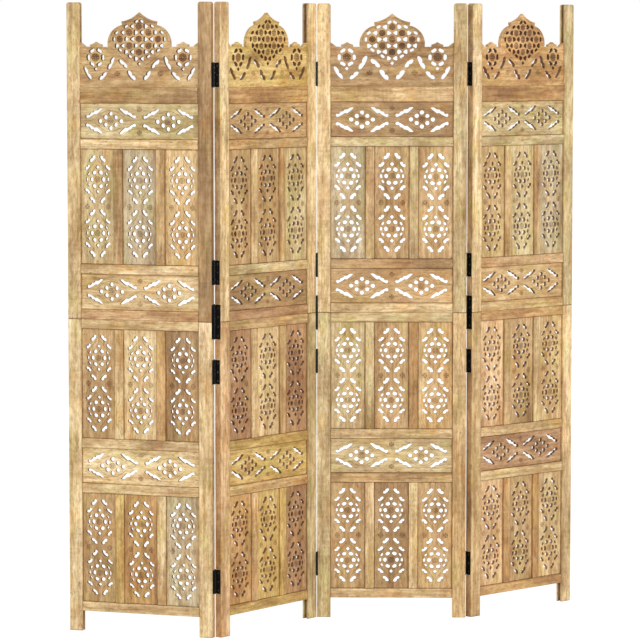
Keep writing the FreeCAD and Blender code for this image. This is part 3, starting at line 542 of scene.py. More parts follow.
def leaf(start, end, half_width, outer_side=1):
    """Leaf from start to end with one bite on its outer side."""
    start, end = np.array(start), np.array(end)
    return laid(LEAF_OUTLINE_SHARES, (start + end) / 2, end, np.linalg.norm(end - start) / 2,
                half_width * outer_side)


def flipped(outlines, over_x, over_z):
    """Outlines with their mirror images across the upright or the level line, or both."""
    for wanted, mirror in ((over_x, (-1, 1)), (over_z, (1, -1))):
        if wanted:
            outlines = np.concatenate((outlines, outlines * mirror))
    return outlines


def hand_cut(outlines, chance, shift=0.25 * MM, turn=2.5, growth=0.04, wobble=0.028):
    """Holes as a fret saw leaves them: each one is moved, turned, grown, and its radius waves two and three
    times in a turn, all by chance."""
    count = len(outlines)
    centre = outlines.mean(axis=1, keepdims=True)
    x, z = np.moveaxis(outlines - centre, -1, 0)
    angle = np.arctan2(z, x)
    phases = chance.uniform(0, 2 * np.pi, (2, count, 1))
    waves = np.cos(2 * angle + phases[0]) + np.cos(3 * angle + phases[1])
    scale = 1 + chance.uniform(-growth, growth, (count, 1)) + wobble * waves
    spin = np.radians(chance.uniform(-turn, turn, count))[:, None]
    turned = np.stack((x * np.cos(spin) - z * np.sin(spin), x * np.sin(spin) + z * np.cos(spin)), axis=-1)
    return centre + turned * scale[..., None] + chance.uniform(-shift, shift, (count, 1, 2))


def mirrored_holes(rows):
    """Holes from rows of what lobed asks for and the two ways to flip them."""
    return np.concatenate([flipped(lobed(*hole), *ways) for *hole, ways in rows])


print("leaf outline of", leaf((0, 0), (1, 0), 0.2).shape[1], "points")

# %% [markdown]
# ## Carving
# Between the piercings lie rosettes, small buds and fine gouged lines. A rosette has a moat cut round it,
# petals that dip between each other, a hollow ring and a round boss. A gouged line is a V that tapers to
# both ends. Nothing stands above the face of the board, because the carver only takes wood away.

# %% Rosettes and gouged lines
ROSETTE_RING_SHARES = np.array(((1.0, 0.0), (0.93, 1.0), (0.85, 0.55), (0.72, 0.12), (0.55, 0.2),
                                (0.42, 0.5), (0.34, 1.0), (0.26, 0.5), (0.14, 0.15), (0.0, 0.1)))
RIM_SHARE, DIP_SHARES, SCALLOP_SHARES, BOSS_SHARE = 0.99, (0.4, 0.9), (0.5, 0.99), 0.3
ROSETTE_POINTS, PETAL_POWER, SCALLOP = 48, 0.7, 0.10
MOAT_DEPTH, PETAL_DIP, BOSS_DEPTH = 1.1 * MM, 0.9 * MM, 0.15 * MM
# The rosette's stain is its own darker wood; the second value is painted shade that grows with the carved depth.
ROSETTE_STAIN, ROSETTE_SHADE = 0.16, 0.50
GOUGE_WIDTH, GOUGE_DEPTH, GOUGE_POINTS, GOUGE_TIP_SHARE = 1.6 * MM, 0.9 * MM, 15, 0.12
# The gouge values paint shade into each V groove: light at the rim, dark at the bottom.
GOUGE_SHADE, CURVE_DEGREE = np.array((0.26, 0.95)), 4


def rosettes(centres, radius, petals, squash=1.0, turn=0.0, grime_and_shade=0.0):
    """Carved flowers: each ring lies at a share of the radius and of the moat's depth; at angle a the petals
    dip and are scalloped by 1 - |cos(petals a / 2)|^power; a boss is in the middle."""
    angle = np.linspace(0, 2 * np.pi, ROSETTE_POINTS, endpoint=False)
    share, moat = ROSETTE_RING_SHARES.T[..., None]
    valley = 1 - np.abs(np.cos(petals * angle / 2)) ** PETAL_POWER
    scallop = 1 - SCALLOP * valley * ((share < SCALLOP_SHARES[1]) & (share > SCALLOP_SHARES[0]))
    dips = PETAL_DIP * valley * ((share < DIP_SHARES[1]) & (share > DIP_SHARES[0]))
    depth = moat * MOAT_DEPTH + dips + BOSS_DEPTH * (share < BOSS_SHARE)
    reach = radius * (share * scallop)[..., None] * (1, squash)
    flat = np.atleast_2d(centres)[:, None, None] + reach * spokes(angle + np.radians(turn))
    # Painted shade that deepens with the carving, over the rosette's own stain; the outer rim stays clean.
    dirt_and_shade = ROSETTE_STAIN + ROSETTE_SHADE * np.clip(depth / MOAT_DEPTH, 0, 1)
    wear = np.where(share < RIM_SHARE, dirt_and_shade, 0.0)
    return carried(at_depth(flat, depth), wear + grime_and_shade), flat[:, 0]


def along_curve(points, count):
    """Open curve through a few points, at even steps: each coordinate is a polynomial of the length."""
    points = np.array(points)
    length = np.concatenate(([0], np.cumsum(np.linalg.norm(np.diff(points, axis=0), axis=1))))
    steps = np.linspace(0, length[-1], count)
    degree = min(len(points) - 1, CURVE_DEGREE)
    return np.stack([np.polyval(np.polyfit(length, points[:, n], degree), steps) for n in (0, 1)], axis=1)


def gouged(paths):
    """V grooves along open paths (lines, points, 2): the two rims stand off by half a width that tapers as
    sin(pi s)^0.5, and the bottom lies on the path at a depth that tapers alike."""
    slope = np.gradient(paths, axis=1)
    slope /= np.linalg.norm(slope, axis=-1, keepdims=True)
    side = np.stack((-slope[..., 1], slope[..., 0]), axis=-1)
    taper = np.clip(np.sin(np.pi * np.linspace(0, 1, paths.shape[1])) ** 0.5, GOUGE_TIP_SHARE, 1)
    right, left = (paths + sign * side * taper[:, None] * GOUGE_WIDTH / 2 for sign in (-1, 1))
    rim = np.concatenate((right, left[:, ::-1]), axis=1)
    bottom = np.concatenate((paths, paths[:, ::-1]), axis=1)
    fall = np.concatenate((taper, taper[::-1])) * GOUGE_DEPTH
    rings = np.stack((at_depth(rim, 0.0), at_depth(bottom, fall)), axis=1)
    return carried(rings, GOUGE_SHADE[:, None]), rim


print("rosette of", len(ROSETTE_RING_SHARES) * ROSETTE_POINTS, "points")

# %% [markdown]
# ## A pierced board
# The front of a board is sewn from rings and a field. Piercings are carried over a rounded edge and down to
# the board's middle, with painted shade on the way; the board's own edge comes up from there and in past the
# frame, where dirt and the frame's painted shade gather. One flat field fills what lies between all the
# rims. The back is the same surface mirrored.

# %% Sewing a board together
HOLE_EDGE = np.array(((1.1, 0.0), (0.4, 0.25), (0.0, 1.1))) * MM
# Painted shade of the piercings: a little round the rim, darker over the rounded edge and down the wall.
HOLE_SHADE = np.array((0.10, 0.42, 0.62, 0.68))
FINE_EDGE_SHARE = 0.65
RIM_SPACING = 9 * MM
FRAMED_RIM = np.array(((TONGUE_LENGTH, BOARD_THICKNESS / 2), (TONGUE_LENGTH, 0.3 * MM), (0.4 * MM, 0.0),
                       (-1.3 * MM, 0.0), (-3.0 * MM, 0.0)))
# Dirt along the joint and the frame's painted shade on the recessed board, fading into the clean field.
FRAMED_RIM_DIRT_AND_SHADE = np.array((1.0, 1.0, 0.95, 0.60, 0.0))


def piercings(outlines, thickness, fine=False, grime_and_shade=0.0):
    """Walls of holes: the outline stood off by each step of the rounded edge at that step's depth, then the
    wall down to the middle of the board."""
    outlines = anticlockwise(outlines)[:, None]
    edge = HOLE_EDGE * FINE_EDGE_SHARE if fine else HOLE_EDGE
    steps = np.concatenate((edge, ((0.0, thickness / 2),)))[:, None]
    flat = outlines + steps[..., :1] * outward(outlines)
    # Painted shade down the walls of the holes, with any extra darkening added on.
    wear = np.minimum(HOLE_SHADE + grime_and_shade, 1)[:, None]
    return carried(at_depth(flat, steps[..., 1]), wear), flat[:, 0]


def sawn_rim(outline, thickness, steps, wear):
    """Rim of a board: its outline at the middle of the thickness, stood in by steps of (inset, depth)."""
    steps = np.concatenate((((0.0, thickness / 2),), steps))[:, None]
    flat = outline - steps[..., :1] * outward(outline)
    return carried(at_depth(flat, steps[..., 1])[None], wear[:, None]), flat[-1]


def framed_rim(x_span, z_span):
    """Rim of a board in a rectangular opening, as anticlockwise rectangles: the end of the tongue in the
    groove, the face up to the frame with dirt and the frame's painted shade along it, and the clean field."""
    across, up = (np.linspace(0, 1, int(np.ptp(span) / RIM_SPACING))[:-1] for span in (x_span, z_span))
    x_share = np.concatenate((across, np.ones_like(up), 1 - across, np.zeros_like(up)))
    z_share = np.concatenate((np.zeros_like(across), up, np.ones_like(across), 1 - up))
    growths = FRAMED_RIM[:, :1]
    flat = np.stack([span[0] - growths + (np.ptp(span) + 2 * growths) * share
                     for span, share in ((x_span, x_share), (z_span, z_share))], axis=-1)
    return carried(at_depth(flat, FRAMED_RIM[:, 1:])[None], FRAMED_RIM_DIRT_AND_SHADE[:, None]), flat[-1]


def sewn(rim, parts, thickness):
    """Whole board from its rim and the (patch, rims) of its holes and carvings: the field between them, then
    the mirror image for the back."""
    edge, outer = rim
    field, faces = filled([outer] + [loop for _, rims in parts for loop in rims])
    flat = patch(at_depth(field, 0.0), faces, smooth=False)
    front = joined([edge, flat] + [one for one, _ in parts])
    front = front._replace(points=front.points - (0, thickness / 2, 0))
    back = front._replace(points=front.points * (1, -1, 1), faces=front.faces[:, ::-1])
    return welded(joined([front, back]))


print("rim of a slat", framed_rim((0, SLAT_WIDTH), LEVELS["lower_slats"])[1].shape)

# %% [markdown]
# ## Slats
# Each slat carries two medallions: a rosette in a ring of six kidney petals, a wreath of beans with a
# diamond at each tip, and four pairs of leaves round them. A gouged line runs between the wreath and the
# leaves, and a bud sits on each side at mid-height. The pattern's shares are those of the solid model.

# %% Medallions and slats
MEDALLION_WIDTH_SHARE, MEDALLION_HEIGHT_SHARE = 0.793, 0.422
MEDALLION_PLACE_SHARE, MEDALLION_ASPECT_SHARE = 0.2335, 1.65
PETAL_PLACE_SHARES = ((0, 0.415), (62, 0.50), (118, 0.50), (180, 0.415), (242, 0.50), (298, 0.50))
PETAL_RADIUS_SHARE, PETAL_DENT_SHARE = 0.152, 0.14
# Lobes and swell of the holes, then the wreath's holes: place, radius, lobes, swell, turn, mirror images
PETAL_SHARES, BEAN_SHARES, HEART_SHARES, DIAMOND_SHARES = (2, -0.10), (2, 0.3), (3, 0.16), (4, 0.13)
WREATH_SHARES = (((0.785, 0.0), 0.108, *BEAN_SHARES, 90, (True, False)),
                 ((0.665, 0.37), 0.098, *BEAN_SHARES, 122, (True, True)),
                 ((0.0, 0.83), 0.12, *DIAMOND_SHARES, 0, (False, True)))
SLAT_LEAF_SHARES = (((0.19, 1.60), (0.58, 1.20), 0.135), ((0.585, 0.965), (0.95, 0.65), 0.118))
WREATH_LINE_SHARES = ((0.04, 1.40), (0.16, 1.23), (0.345, 1.00), (0.58, 0.72), (0.825, 0.40), (0.945, 0.09))
SLAT_ROSETTE, SLAT_BUD, SLAT_BUD_PLACE = 8.6 * MM, 7.0 * MM, 29 * MM
SLAT_BUD_SQUASH, BUD_PETALS, BUD_TURN = 1.1, 4, 45
ROSETTE_PETALS, ROSETTE_TURNS = 8, (0, 45)
MOTIF_DRIFT = 0.8 * MM


def medallion():
    """Outlines of one medallion: (lobed holes, leaves), in shares of half its width."""
    angles, reaches = np.array(PETAL_PLACE_SHARES).T
    centres = reaches[:, None] * spokes(np.radians(angles))
    petals = lobed(centres, PETAL_RADIUS_SHARE, *PETAL_SHARES, angles, PETAL_DENT_SHARE)
    leaves = np.concatenate([leaf(*shares) for shares in SLAT_LEAF_SHARES])
    return np.concatenate((petals, mirrored_holes(WREATH_SHARES))), flipped(leaves, True, True)


def carved_board(chance, x_span, z_span, step, units, motif, cuts, line, rosette, buds):
    """Board in a rectangular opening. A step before and after its middle, but for a small drift, come the
    motif's holes and leaves, the gouged lines and a rosette; then the buds."""
    middle = np.array((np.mean(x_span), np.mean(z_span)))
    parts = []
    for centre in (middle - step, middle + step):
        centre = centre + chance.uniform(-MOTIF_DRIFT, MOTIF_DRIFT, 2)
        for outlines, cut, fine in zip(motif, cuts, (False, True)):
            holes = hand_cut(centre + outlines * units, chance, **cut)
            parts.append(piercings(holes, BOARD_THICKNESS, fine))
        parts.append(gouged(centre + line * units))
        parts.append(rosettes(centre, rosette, ROSETTE_PETALS, turn=chance.uniform(*ROSETTE_TURNS)))
    place, radius, squash = buds
    parts.append(rosettes((middle - place, middle + place), radius, BUD_PETALS, squash, BUD_TURN))
    return sewn(framed_rim(x_span, z_span), parts, BOARD_THICKNESS)


def slats(chance, tier):
    """Slats of a tier, each with two medallions and two buds."""
    low, high = LEVELS[tier]
    height = high - low
    units = np.array((SLAT_WIDTH * MEDALLION_WIDTH_SHARE,
                      height * MEDALLION_HEIGHT_SHARE / MEDALLION_ASPECT_SHARE)) / 2
    line = flipped(along_curve(WREATH_LINE_SHARES, GOUGE_POINTS)[None], True, True)
    buds = np.array((SLAT_BUD_PLACE, 0)), SLAT_BUD, SLAT_BUD_SQUASH
    step = (0, height * MEDALLION_PLACE_SHARE)
    pattern = (step, units, medallion(), ({}, {}), line, SLAT_ROSETTE, buds)
    for start in SLAT_STARTS:
        yield carved_board(chance, (start, start + SLAT_WIDTH), (low, high), *pattern)


for number in PLACES:
    for tier in TIERS:
        dress(number, tier, UPRIGHT, slats, tier)
print("faces of a tier of slats", len(PIECES["panel_1_lower_slats"].data.polygons))

# %% [markdown]
# ## Friezes
# A frieze is a level board with two eyes: a rosette in a ring of eight round holes, with a lens-shaped line
# gouged round it, between four saw-toothed feathers. Two buds mark the middle of the board.

# %% Eyes and friezes
EYE_PLACE_SHARE, EYE_UNIT_SHARE, EYE_HOLE_SHARES = 0.2427, 0.1433, (0.122, 0, 0.0, 0)
EYE_RING_SHARES = (((0.0, 0.398), *EYE_HOLE_SHARES, (False, True)),
                   ((0.617, 0.0), *EYE_HOLE_SHARES, (True, False)),
                   ((0.302, 0.204), *EYE_HOLE_SHARES, (True, True)))
FEATHER_START_SHARES, FEATHER_END_SHARES = (-1.475, 0.20), (-0.48, 0.66)
LENS_LINE_SHARES = ((-0.98, 0.03), (-0.76, 0.24), (-0.42, 0.47), (0.0, 0.60), (0.42, 0.47), (0.76, 0.24),
                    (0.98, 0.03))
EYE_ROSETTE, FRIEZE_BUD, FRIEZE_BUD_PLACE, FRIEZE_BUD_SQUASH = 9.0 * MM, 7.5 * MM, 30 * MM, 0.9
FEATHER_CUT = {"turn": 1.5, "wobble": 0.0}
FRIEZES = ("lower_frieze", "middle_frieze", "top_frieze")


def eye():
    """Outlines of one eye: (round holes, feathers), in shares of half the frieze's height."""
    length = np.linalg.norm(np.subtract(FEATHER_END_SHARES, FEATHER_START_SHARES))
    feather = laid(FEATHER_OUTLINE_SHARES, FEATHER_START_SHARES, FEATHER_END_SHARES, length, length)
    return mirrored_holes(EYE_RING_SHARES), flipped(feather, True, True)


def friezes(chance):
    """Frieze boards, each with two eyes and two buds."""
    units = np.array((OPENING_WIDTH * EYE_UNIT_SHARE, FRIEZE_HEIGHT / 2))
    line = flipped(along_curve(LENS_LINE_SHARES, GOUGE_POINTS)[None], False, True)
    buds = np.array((0, FRIEZE_BUD_PLACE)), FRIEZE_BUD, FRIEZE_BUD_SQUASH
    step = (OPENING_WIDTH * EYE_PLACE_SHARE, 0)
    pattern = (step, units, eye(), ({}, FEATHER_CUT), line, EYE_ROSETTE, buds)
    for name in FRIEZES:
        yield carved_board(chance, (STILE_WIDTH, PANEL_WIDTH - STILE_WIDTH), LEVELS[name], *pattern)


for number in PLACES:
    dress(number, "friezes", LEVEL, friezes)
print("faces of the friezes", len(PIECES["panel_1_friezes"].data.polygons))

# %% [markdown]
# ## Crown boards
# The crown stands between the post tops: a dome with an ogee peak, a bump over each side flower and an ear
# at each post. In the dome nine rosettes sit in a lattice of hearts and beans, and leaves sweep down from
# it. Its top edge is sawn, so it is eased less than the piercings.

# %% Crown outline, lattice and leaves
CROWN_UNIT_SHARES = (0.3049, 0.5168)
CROWN_UNITS = np.array((OPENING_WIDTH, CROWN_HEIGHT)) * CROWN_UNIT_SHARES
# Runs of the edge: steps, a point on the way if the run is round, and its end
CROWN_FOOT_SHARES = (0.0, -0.005)
CROWN_EDGE_SHARES = (
    (1, (0.6, -0.005)), (1, (1.1, -0.005)), (1, (1.642, -0.005)), (1, (1.642, 0.55)), (1, (1.642, 1.16)),
    (5, (1.585, 1.128), (1.495, 1.054)), (3, (1.362, 1.05)), (2, (1.362, 1.106)),
    (6, (1.29, 1.125), (1.202, 1.175)), (6, (1.114, 1.125), (1.042, 1.106)), (2, (1.042, 1.05)),
    (4, (0.865, 1.046)), (16, (0.775, 1.42), (0.464, 1.61)), (3, (0.486, 1.70)),
    (10, (0.20, 1.79), (0.0, 1.935)),
)
LATTICE_HEIGHT_SHARE = 1.245
LATTICE_ROW_SHARES = ((0.455, ((0.075, "high_rim"),)),
                      (0.33, ((0.185, "outward"), (0.36, "high_rim"))),
                      (0.17, ((0.09, "inward"), (0.447, "outward"), (0.625, "high_rim"))),
                      (0.0, ((0.18, "outward"), (0.351, "inward"), (0.70, "side_rim"))),
                      (-0.17, ((0.09, "inward"), (0.447, "outward"), (0.615, "inward"))),
                      (-0.285, ((0.527, "low_rim"),)),
                      (-0.33, ((0.185, "outward"), (0.362, "inward"))),
                      (-0.45, ((0.255, "low_rim"),)),
                      (-0.505, ((0.088, "inward"),)))
HEART_TURNS = {"outward": 0.0, "inward": 180.0}
RIM_TURNS = {"high_rim": 150.0, "side_rim": 90.0, "low_rim": 33.0}
CROWN_LEAF_SHARES = (((1.55, 0.53), (1.32, 0.185), 0.056, -1), ((0.90, 0.385), (1.13, 0.19), 0.056, 1),
                     ((0.69, 0.80), (0.87, 0.45), 0.060, 1), ((0.57, 0.71), (0.33, 0.51), 0.060, 1),
                     ((0.32, 0.43), (0.115, 0.18), 0.064, -1))
LATTICE_HOLE_SHARE, RIM_BEAN_SHARE, CROWN_DIAMOND_SHARE = 0.057, 0.048, 0.042
LATTICE_TIP_SHARES = (0.0, -0.635)
SIDE_FLOWER_SHARES, SIDE_FLOWER_RADIUS_SHARE = np.array((1.21, 0.77)), 0.20
SIDE_FLOWER_HOLE_SHARE, SIDE_FLOWER_TIP_SHARES = 0.061, np.array((0.0, -0.30))
LATTICE_ROSETTE_SHARES = np.array(((0, 0), (0.264, 0.17), (-0.264, 0.17), (0.264, -0.17), (-0.264, -0.17),
                                   (0.529, 0), (-0.529, 0), (0, 0.328), (0, -0.34)))
DOME_LINE_SHARES = ((0.80, 1.12), (0.785, 1.27), (0.715, 1.43), (0.60, 1.53), (0.50, 1.575))
OGEE_LINE_SHARES = ((0.40, 1.655), (0.22, 1.735), (0.03, 1.84))
LATTICE_LINE_SHARES = ((0.79, 1.06), (0.62, 0.885), (0.45, 0.745), (0.28, 0.63), (0.15, 0.555),
                       (0.03, 0.515))
LATTICE_ROSETTE, SIDE_ROSETTE, CROWN_BUD, CROWN_BUD_SQUASH = 9.0 * MM, 11.5 * MM, 8.5 * MM, 0.85
LATTICE_PETALS, LATTICE_GRIME, SIDE_FLOWER_HOLES = 6, 0.30, 6
CROWN_BUD_SHARES = np.array(((0.60, 0.36), (-0.60, 0.36)))
CROWN_RIM = np.array(((0.0, 0.8), (0.25, 0.25), (0.8, 0.0))) * MM
CROWN_RIM_WEAR = np.array((0.1, 0.1, -0.4, 0.0))


def bent(points, steps):
    """Run of an edge without its last point: a straight line, or the circle through three points."""
    points, t = np.array(points), np.linspace(0, 1, steps, endpoint=False)
    if len(points) == 2:
        return points[0] + t[:, None] * (points[1] - points[0])
    a, b, c = points
    centre = np.linalg.solve(2 * np.array((b - a, c - a)), np.array((b @ b - a @ a, c @ c - a @ a)))
    start, through, end = (np.arctan2(*(p - centre)[::-1]) for p in (a, b, c))
    sweep, part = (end - start) % (2 * np.pi), (through - start) % (2 * np.pi)
    sweep = sweep if part < sweep else sweep - 2 * np.pi
    return centre + np.linalg.norm(a - centre) * spokes(start + sweep * t)


def crown_outline():
    """Edge of the crown, anticlockwise from the middle of its foot, in shares of its units. Each run starts
    where the last one ends."""
    right, start = [], CROWN_FOOT_SHARES
    for steps, *points in CROWN_EDGE_SHARES:
        right.append(bent((start, *points), steps))
        start = points[-1]
    right = np.concatenate(right + [[start]])
    return np.concatenate((right, right[-2:0:-1] * (-1, 1)))


def crown_holes():
    """Outlines of the crown: (lattice and flower holes, leaves), in shares of its units."""
    holes = [(place, height, kind) for height, row in LATTICE_ROW_SHARES for place, kind in row]
    hearts, rims = (np.array([(place, height, turns[kind]) for place, height, kind in holes
                              if kind in turns]) for turns in (HEART_TURNS, RIM_TURNS))
    lattice = np.concatenate((lobed(hearts[:, :2], LATTICE_HOLE_SHARE, *HEART_SHARES, hearts[:, 2]),
                              lobed(rims[:, :2], RIM_BEAN_SHARE, *BEAN_SHARES, rims[:, 2])))
    tips = lobed((LATTICE_TIP_SHARES, SIDE_FLOWER_SHARES + SIDE_FLOWER_TIP_SHARES), CROWN_DIAMOND_SHARE,
                 *DIAMOND_SHARES)
    lattice = np.concatenate((flipped(lattice, True, False), tips[:1]))
    angles = np.arange(0, 360, 360 // SIDE_FLOWER_HOLES)
    ring = SIDE_FLOWER_SHARES + SIDE_FLOWER_RADIUS_SHARE * spokes(np.radians(angles))
    flower = np.concatenate((lobed(ring, SIDE_FLOWER_HOLE_SHARE, *BEAN_SHARES, angles + 90), tips[1:]))
    leaves = np.concatenate([leaf(*shares) for shares in CROWN_LEAF_SHARES])
    return (np.concatenate((lattice + (0, LATTICE_HEIGHT_SHARE), flipped(flower, True, False))),
            flipped(leaves, True, False))


def crowns(chance):
    """Crown board: its sawn edge, lattice, side flowers, leaves, rosettes, buds and gouged lines."""
    foot = np.array((PANEL_WIDTH / 2, LEVELS["crown_rail"][1]))
    rim = sawn_rim(foot + crown_outline() * CROWN_UNITS, CROWN_THICKNESS, CROWN_RIM, CROWN_RIM_WEAR)
    parts = [piercings(hand_cut(foot + outlines * CROWN_UNITS, chance), CROWN_THICKNESS, True, grime_and_shade)
             for outlines, grime_and_shade in zip(crown_holes(), (LATTICE_GRIME, 0.0))]
    middles = LATTICE_ROSETTE_SHARES + (0, LATTICE_HEIGHT_SHARE)
    flowers = SIDE_FLOWER_SHARES * ((1, 1), (-1, 1))
    for shares, *details in ((middles, LATTICE_ROSETTE, LATTICE_PETALS, 1.0, 0.0, LATTICE_GRIME),
                             (flowers, SIDE_ROSETTE, ROSETTE_PETALS, 1.0, 0.0, LATTICE_GRIME),
                             (CROWN_BUD_SHARES, CROWN_BUD, BUD_PETALS, CROWN_BUD_SQUASH, BUD_TURN)):
        parts.append(rosettes(foot + shares * CROWN_UNITS, *details))
    for shares in (DOME_LINE_SHARES, OGEE_LINE_SHARES, LATTICE_LINE_SHARES):
        line = flipped(along_curve(shares, 2 * GOUGE_POINTS)[None], True, False)
        parts.append(gouged(foot + line * CROWN_UNITS))
    return [sewn(rim, parts, CROWN_THICKNESS)]


for number in PLACES:
    dress(number, "crown_board", LEVEL, crowns)
print("faces of a crown", len(PIECES["panel_1_crown_board"].data.polygons), "pieces", len(PIECES))

# %% [markdown]
# ## Shader maths as Python
# A finish is a tree of nodes. Wiring it by hand hides the idea, so one small class wraps an output socket
# and lets +, - and * add the Math nodes; every other node comes from one method.

# %% Sockets with arithmetic, and a finish to hold them
class Flow:
    """Output socket of a finish, with arithmetic that adds Math nodes."""

    def __init__(self, finish, socket):
        self.finish, self.socket = finish, socket

    def maths(self, operation, first, second):
        """Math node on two values, of which either may be a plain number."""
        return self.finish.node("ShaderNodeMath", {"operation": operation}, {0: first, 1: second})

    def __add__(self, other):
        return self.maths("ADD", self, other)

    def __sub__(self, other):
        return self.maths("SUBTRACT", self, other)

    def __rsub__(self, other):
        return self.maths("SUBTRACT", other, self)

    def __mul__(self, other):
        return self.maths("MULTIPLY", self, other)

    __radd__, __rmul__ = __add__, __mul__


class Finish:
    """Node tree of a material or a world, with its last shader."""

    def __init__(self, holder, shader="Principled BSDF"):
        holder.use_nodes = True
        self.holder, self.tree = holder, holder.node_tree
        self.shader = self.tree.nodes[shader]

    def node(self, kind, settings, sockets, output=0):
        """Node of a kind: its settings are set first, then each socket gets a number, a colour or a link."""
        made = self.tree.nodes.new(kind)
        for name, value in settings.items():
            setattr(made, name, value)
        for name, value in sockets.items():
            self.feed(made.inputs[name], value)
        return Flow(self, made.outputs[output])

    def feed(self, socket, value):
        """Link or value into a socket."""
        if isinstance(value, Flow):
            self.tree.links.new(value.socket, socket)
        else:
            socket.default_value = value

    def surface(self, **sockets):
        """Values or links of the last shader's sockets, by name with _ for spaces."""
        for name, value in sockets.items():
            self.feed(self.shader.inputs[name.replace("_", " ")], value)
        return self.holder

    def stretched(self, vector, scales, shift=0.0):
        """Vector scaled by three numbers and moved on by a shift."""
        return self.node("ShaderNodeVectorMath", {"operation": "MULTIPLY_ADD"},
                         {0: vector, 1: scales, 2: (shift, shift, shift)})

    def noise(self, vector, scales, detail=2.0, roughness=0.5, shift=0.0):
        """Smooth random value from 0 to 1, with features of 1 / scale metres along each axis."""
        place = self.stretched(vector, scales, shift)
        return self.node("ShaderNodeTexNoise", {},
                         {"Vector": place, "Scale": 1.0, "Detail": detail, "Roughness": roughness})

    def ramp(self, value, low, high):
        """0 below low, 1 above high, and an S curve between."""
        return self.node("ShaderNodeMapRange", {"interpolation_type": "SMOOTHSTEP"},
                         {"Value": value, "From Min": low, "From Max": high})

    def mixed(self, share, first, second, blend="MIX"):
        """Colour mix: the first colour at share 0, blended with the second at share 1."""
        return self.node("ShaderNodeMix", {"data_type": "RGBA", "blend_type": blend},
                         {0: share, 6: first, 7: second}, 2)

    def relief(self, height, distance):
        """Normal of a surface raised by a height from 0 to 1 over a distance in metres."""
        return self.node("ShaderNodeBump", {}, {"Height": height, "Distance": distance, "Strength": 1.0})


print("shader tools ready")

# %% [markdown]
# ## Wood
# The hardwood has long soft streaks, fine fibres, short dark pores, a flowing figure of growth rings, smoky
# heartwood and marks of the planing machine: all noises stretched along the grain attribute, so that they
# turn with each board. Dirt and painted shade darken hollows, grooves, joints and piercings, and rubbed edges
# are paler: the wear and shade attribute says where.

# %% Wood finishes
def colour(red, green, blue):
    """Linear colour with full alpha, from screen values."""
    return (*linear((red, green, blue)), 1.0)


# Layers: whether they flow with the growth rings, features per metre along and across the grain, detail,
# roughness and shift of the noise, and the noise at which they begin and are full
GRAIN_LAYERS = {
    "drift": (False, 5, 16, 3, 0.5, 0, 0.36, 0.64),
    "olive": (False, 9, 20, 4, 0.6, 31, 0.48, 0.66),
    "amber": (False, 10, 24, 4, 0.6, 57, 0.50, 0.68),
    "mauve": (False, 14, 30, 4, 0.6, 43, 0.54, 0.70),
    "mottle": (True, 48, 115, 3, 0.6, 19, 0.36, 0.66),
    "streaks": (True, 3.4, 85, 5, 0.66, 0, 0.42, 0.66),
    "smoke": (True, 2.8, 26, 4, 0.62, 5, 0.55, 0.72),
    "threads": (True, 11, 320, 3, 0.6, 0, 0.30, 0.70),
    "flecks": (False, 42, 150, 2, 0.5, 13, 0.60, 0.72),
    "pores": (False, 85, 520, 1.5, 0.5, 0, 0.60, 0.70),
    "planed": (False, 9, 20, 1, 0.5, 91, 0.42, 0.60),
}
# Tints in the order in which they go on: the share of the layer, how it blends, and its colour
TINT_SHARES = {
    "olive": (0.80, "MULTIPLY", (0.88, 0.93, 0.72, 1)),
    "amber": (0.75, "MULTIPLY", (0.98, 0.83, 0.62, 1)),
    "mauve": (0.62, "MULTIPLY", (0.92, 0.80, 0.82, 1)),
    "mottle": (0.66, "MULTIPLY", (0.66, 0.57, 0.44, 1)),
    "figure": (0.34, "MULTIPLY", (0.74, 0.62, 0.48, 1)),
    "browned": (1.0, "MULTIPLY", (0.62, 0.48, 0.33, 1)),
    "smoke": (0.66, "MULTIPLY", (0.56, 0.49, 0.41, 1)),
    "threads": (0.34, "MULTIPLY", (0.62, 0.50, 0.38, 1)),
    "saw": (1.0, "MULTIPLY", (0.42, 0.31, 0.21, 1)),
    "knots": (0.75, "MULTIPLY", (0.36, 0.24, 0.15, 1)),
    "flecks": (0.40, "MIX", colour(136, 100, 60)),
    "pores": (0.42, "MIX", colour(112, 80, 48)),
    # The next tint paints dirt and shade: dark brown in hollows, grooves, joints and the walls of piercings.
    "grime_and_shade": (0.95, "MULTIPLY", (0.25, 0.13, 0.055, 1)),
    "rubbed": (0.30, "MIX", colour(240, 216, 172)),
}
HEIGHT_SHARES = {"threads": 0.5, "streaks": 0.2, "pores": -0.9, "flecks": -0.5, "saw": -2.0, "knots": -0.4}
ROUGH_SHARES = {"streaks": 0.10, "pores": 0.2, "grime_and_shade": 0.15}
# Marks of the planing machine and depth of the streaks in each wood
WOOD_SHARES = {"stile_wood": (0.68, 0.62), "rail_wood": (0.75, 0.72), "muntin_wood": (0.80, 0.70),
               "slat_wood": (0.15, 0.55), "frieze_wood": (0.15, 0.55), "crown_wood": (0.15, 0.60)}
RING_WAVES, RING_BEND, BARE_ROUGHNESS, GRAIN_RELIEF = 80, 0.016, 0.46, 0.4 * MM
KNOT_CELLS, KNOT_REACH, KNOT_CHOICE = (4, 11, 11), (0.05, 0.26), (0.80, 0.84)
# Other noises: features per metre along the three axes, then detail, roughness and shift
BEND_NOISE, RING_NOISE, SAW_NOISE = ((6, 26, 26),), ((1.6, 20, 20), 1), ((150, 10, 10), 3, 0.6)
PATCHY_NOISE, PATCHY_LEAST, PATCHY_REACH = ((24, 60, 60), 3, 0.6, 71), 0.35, 1.3
RUBBED_SPAN = (0.1, 1.0)


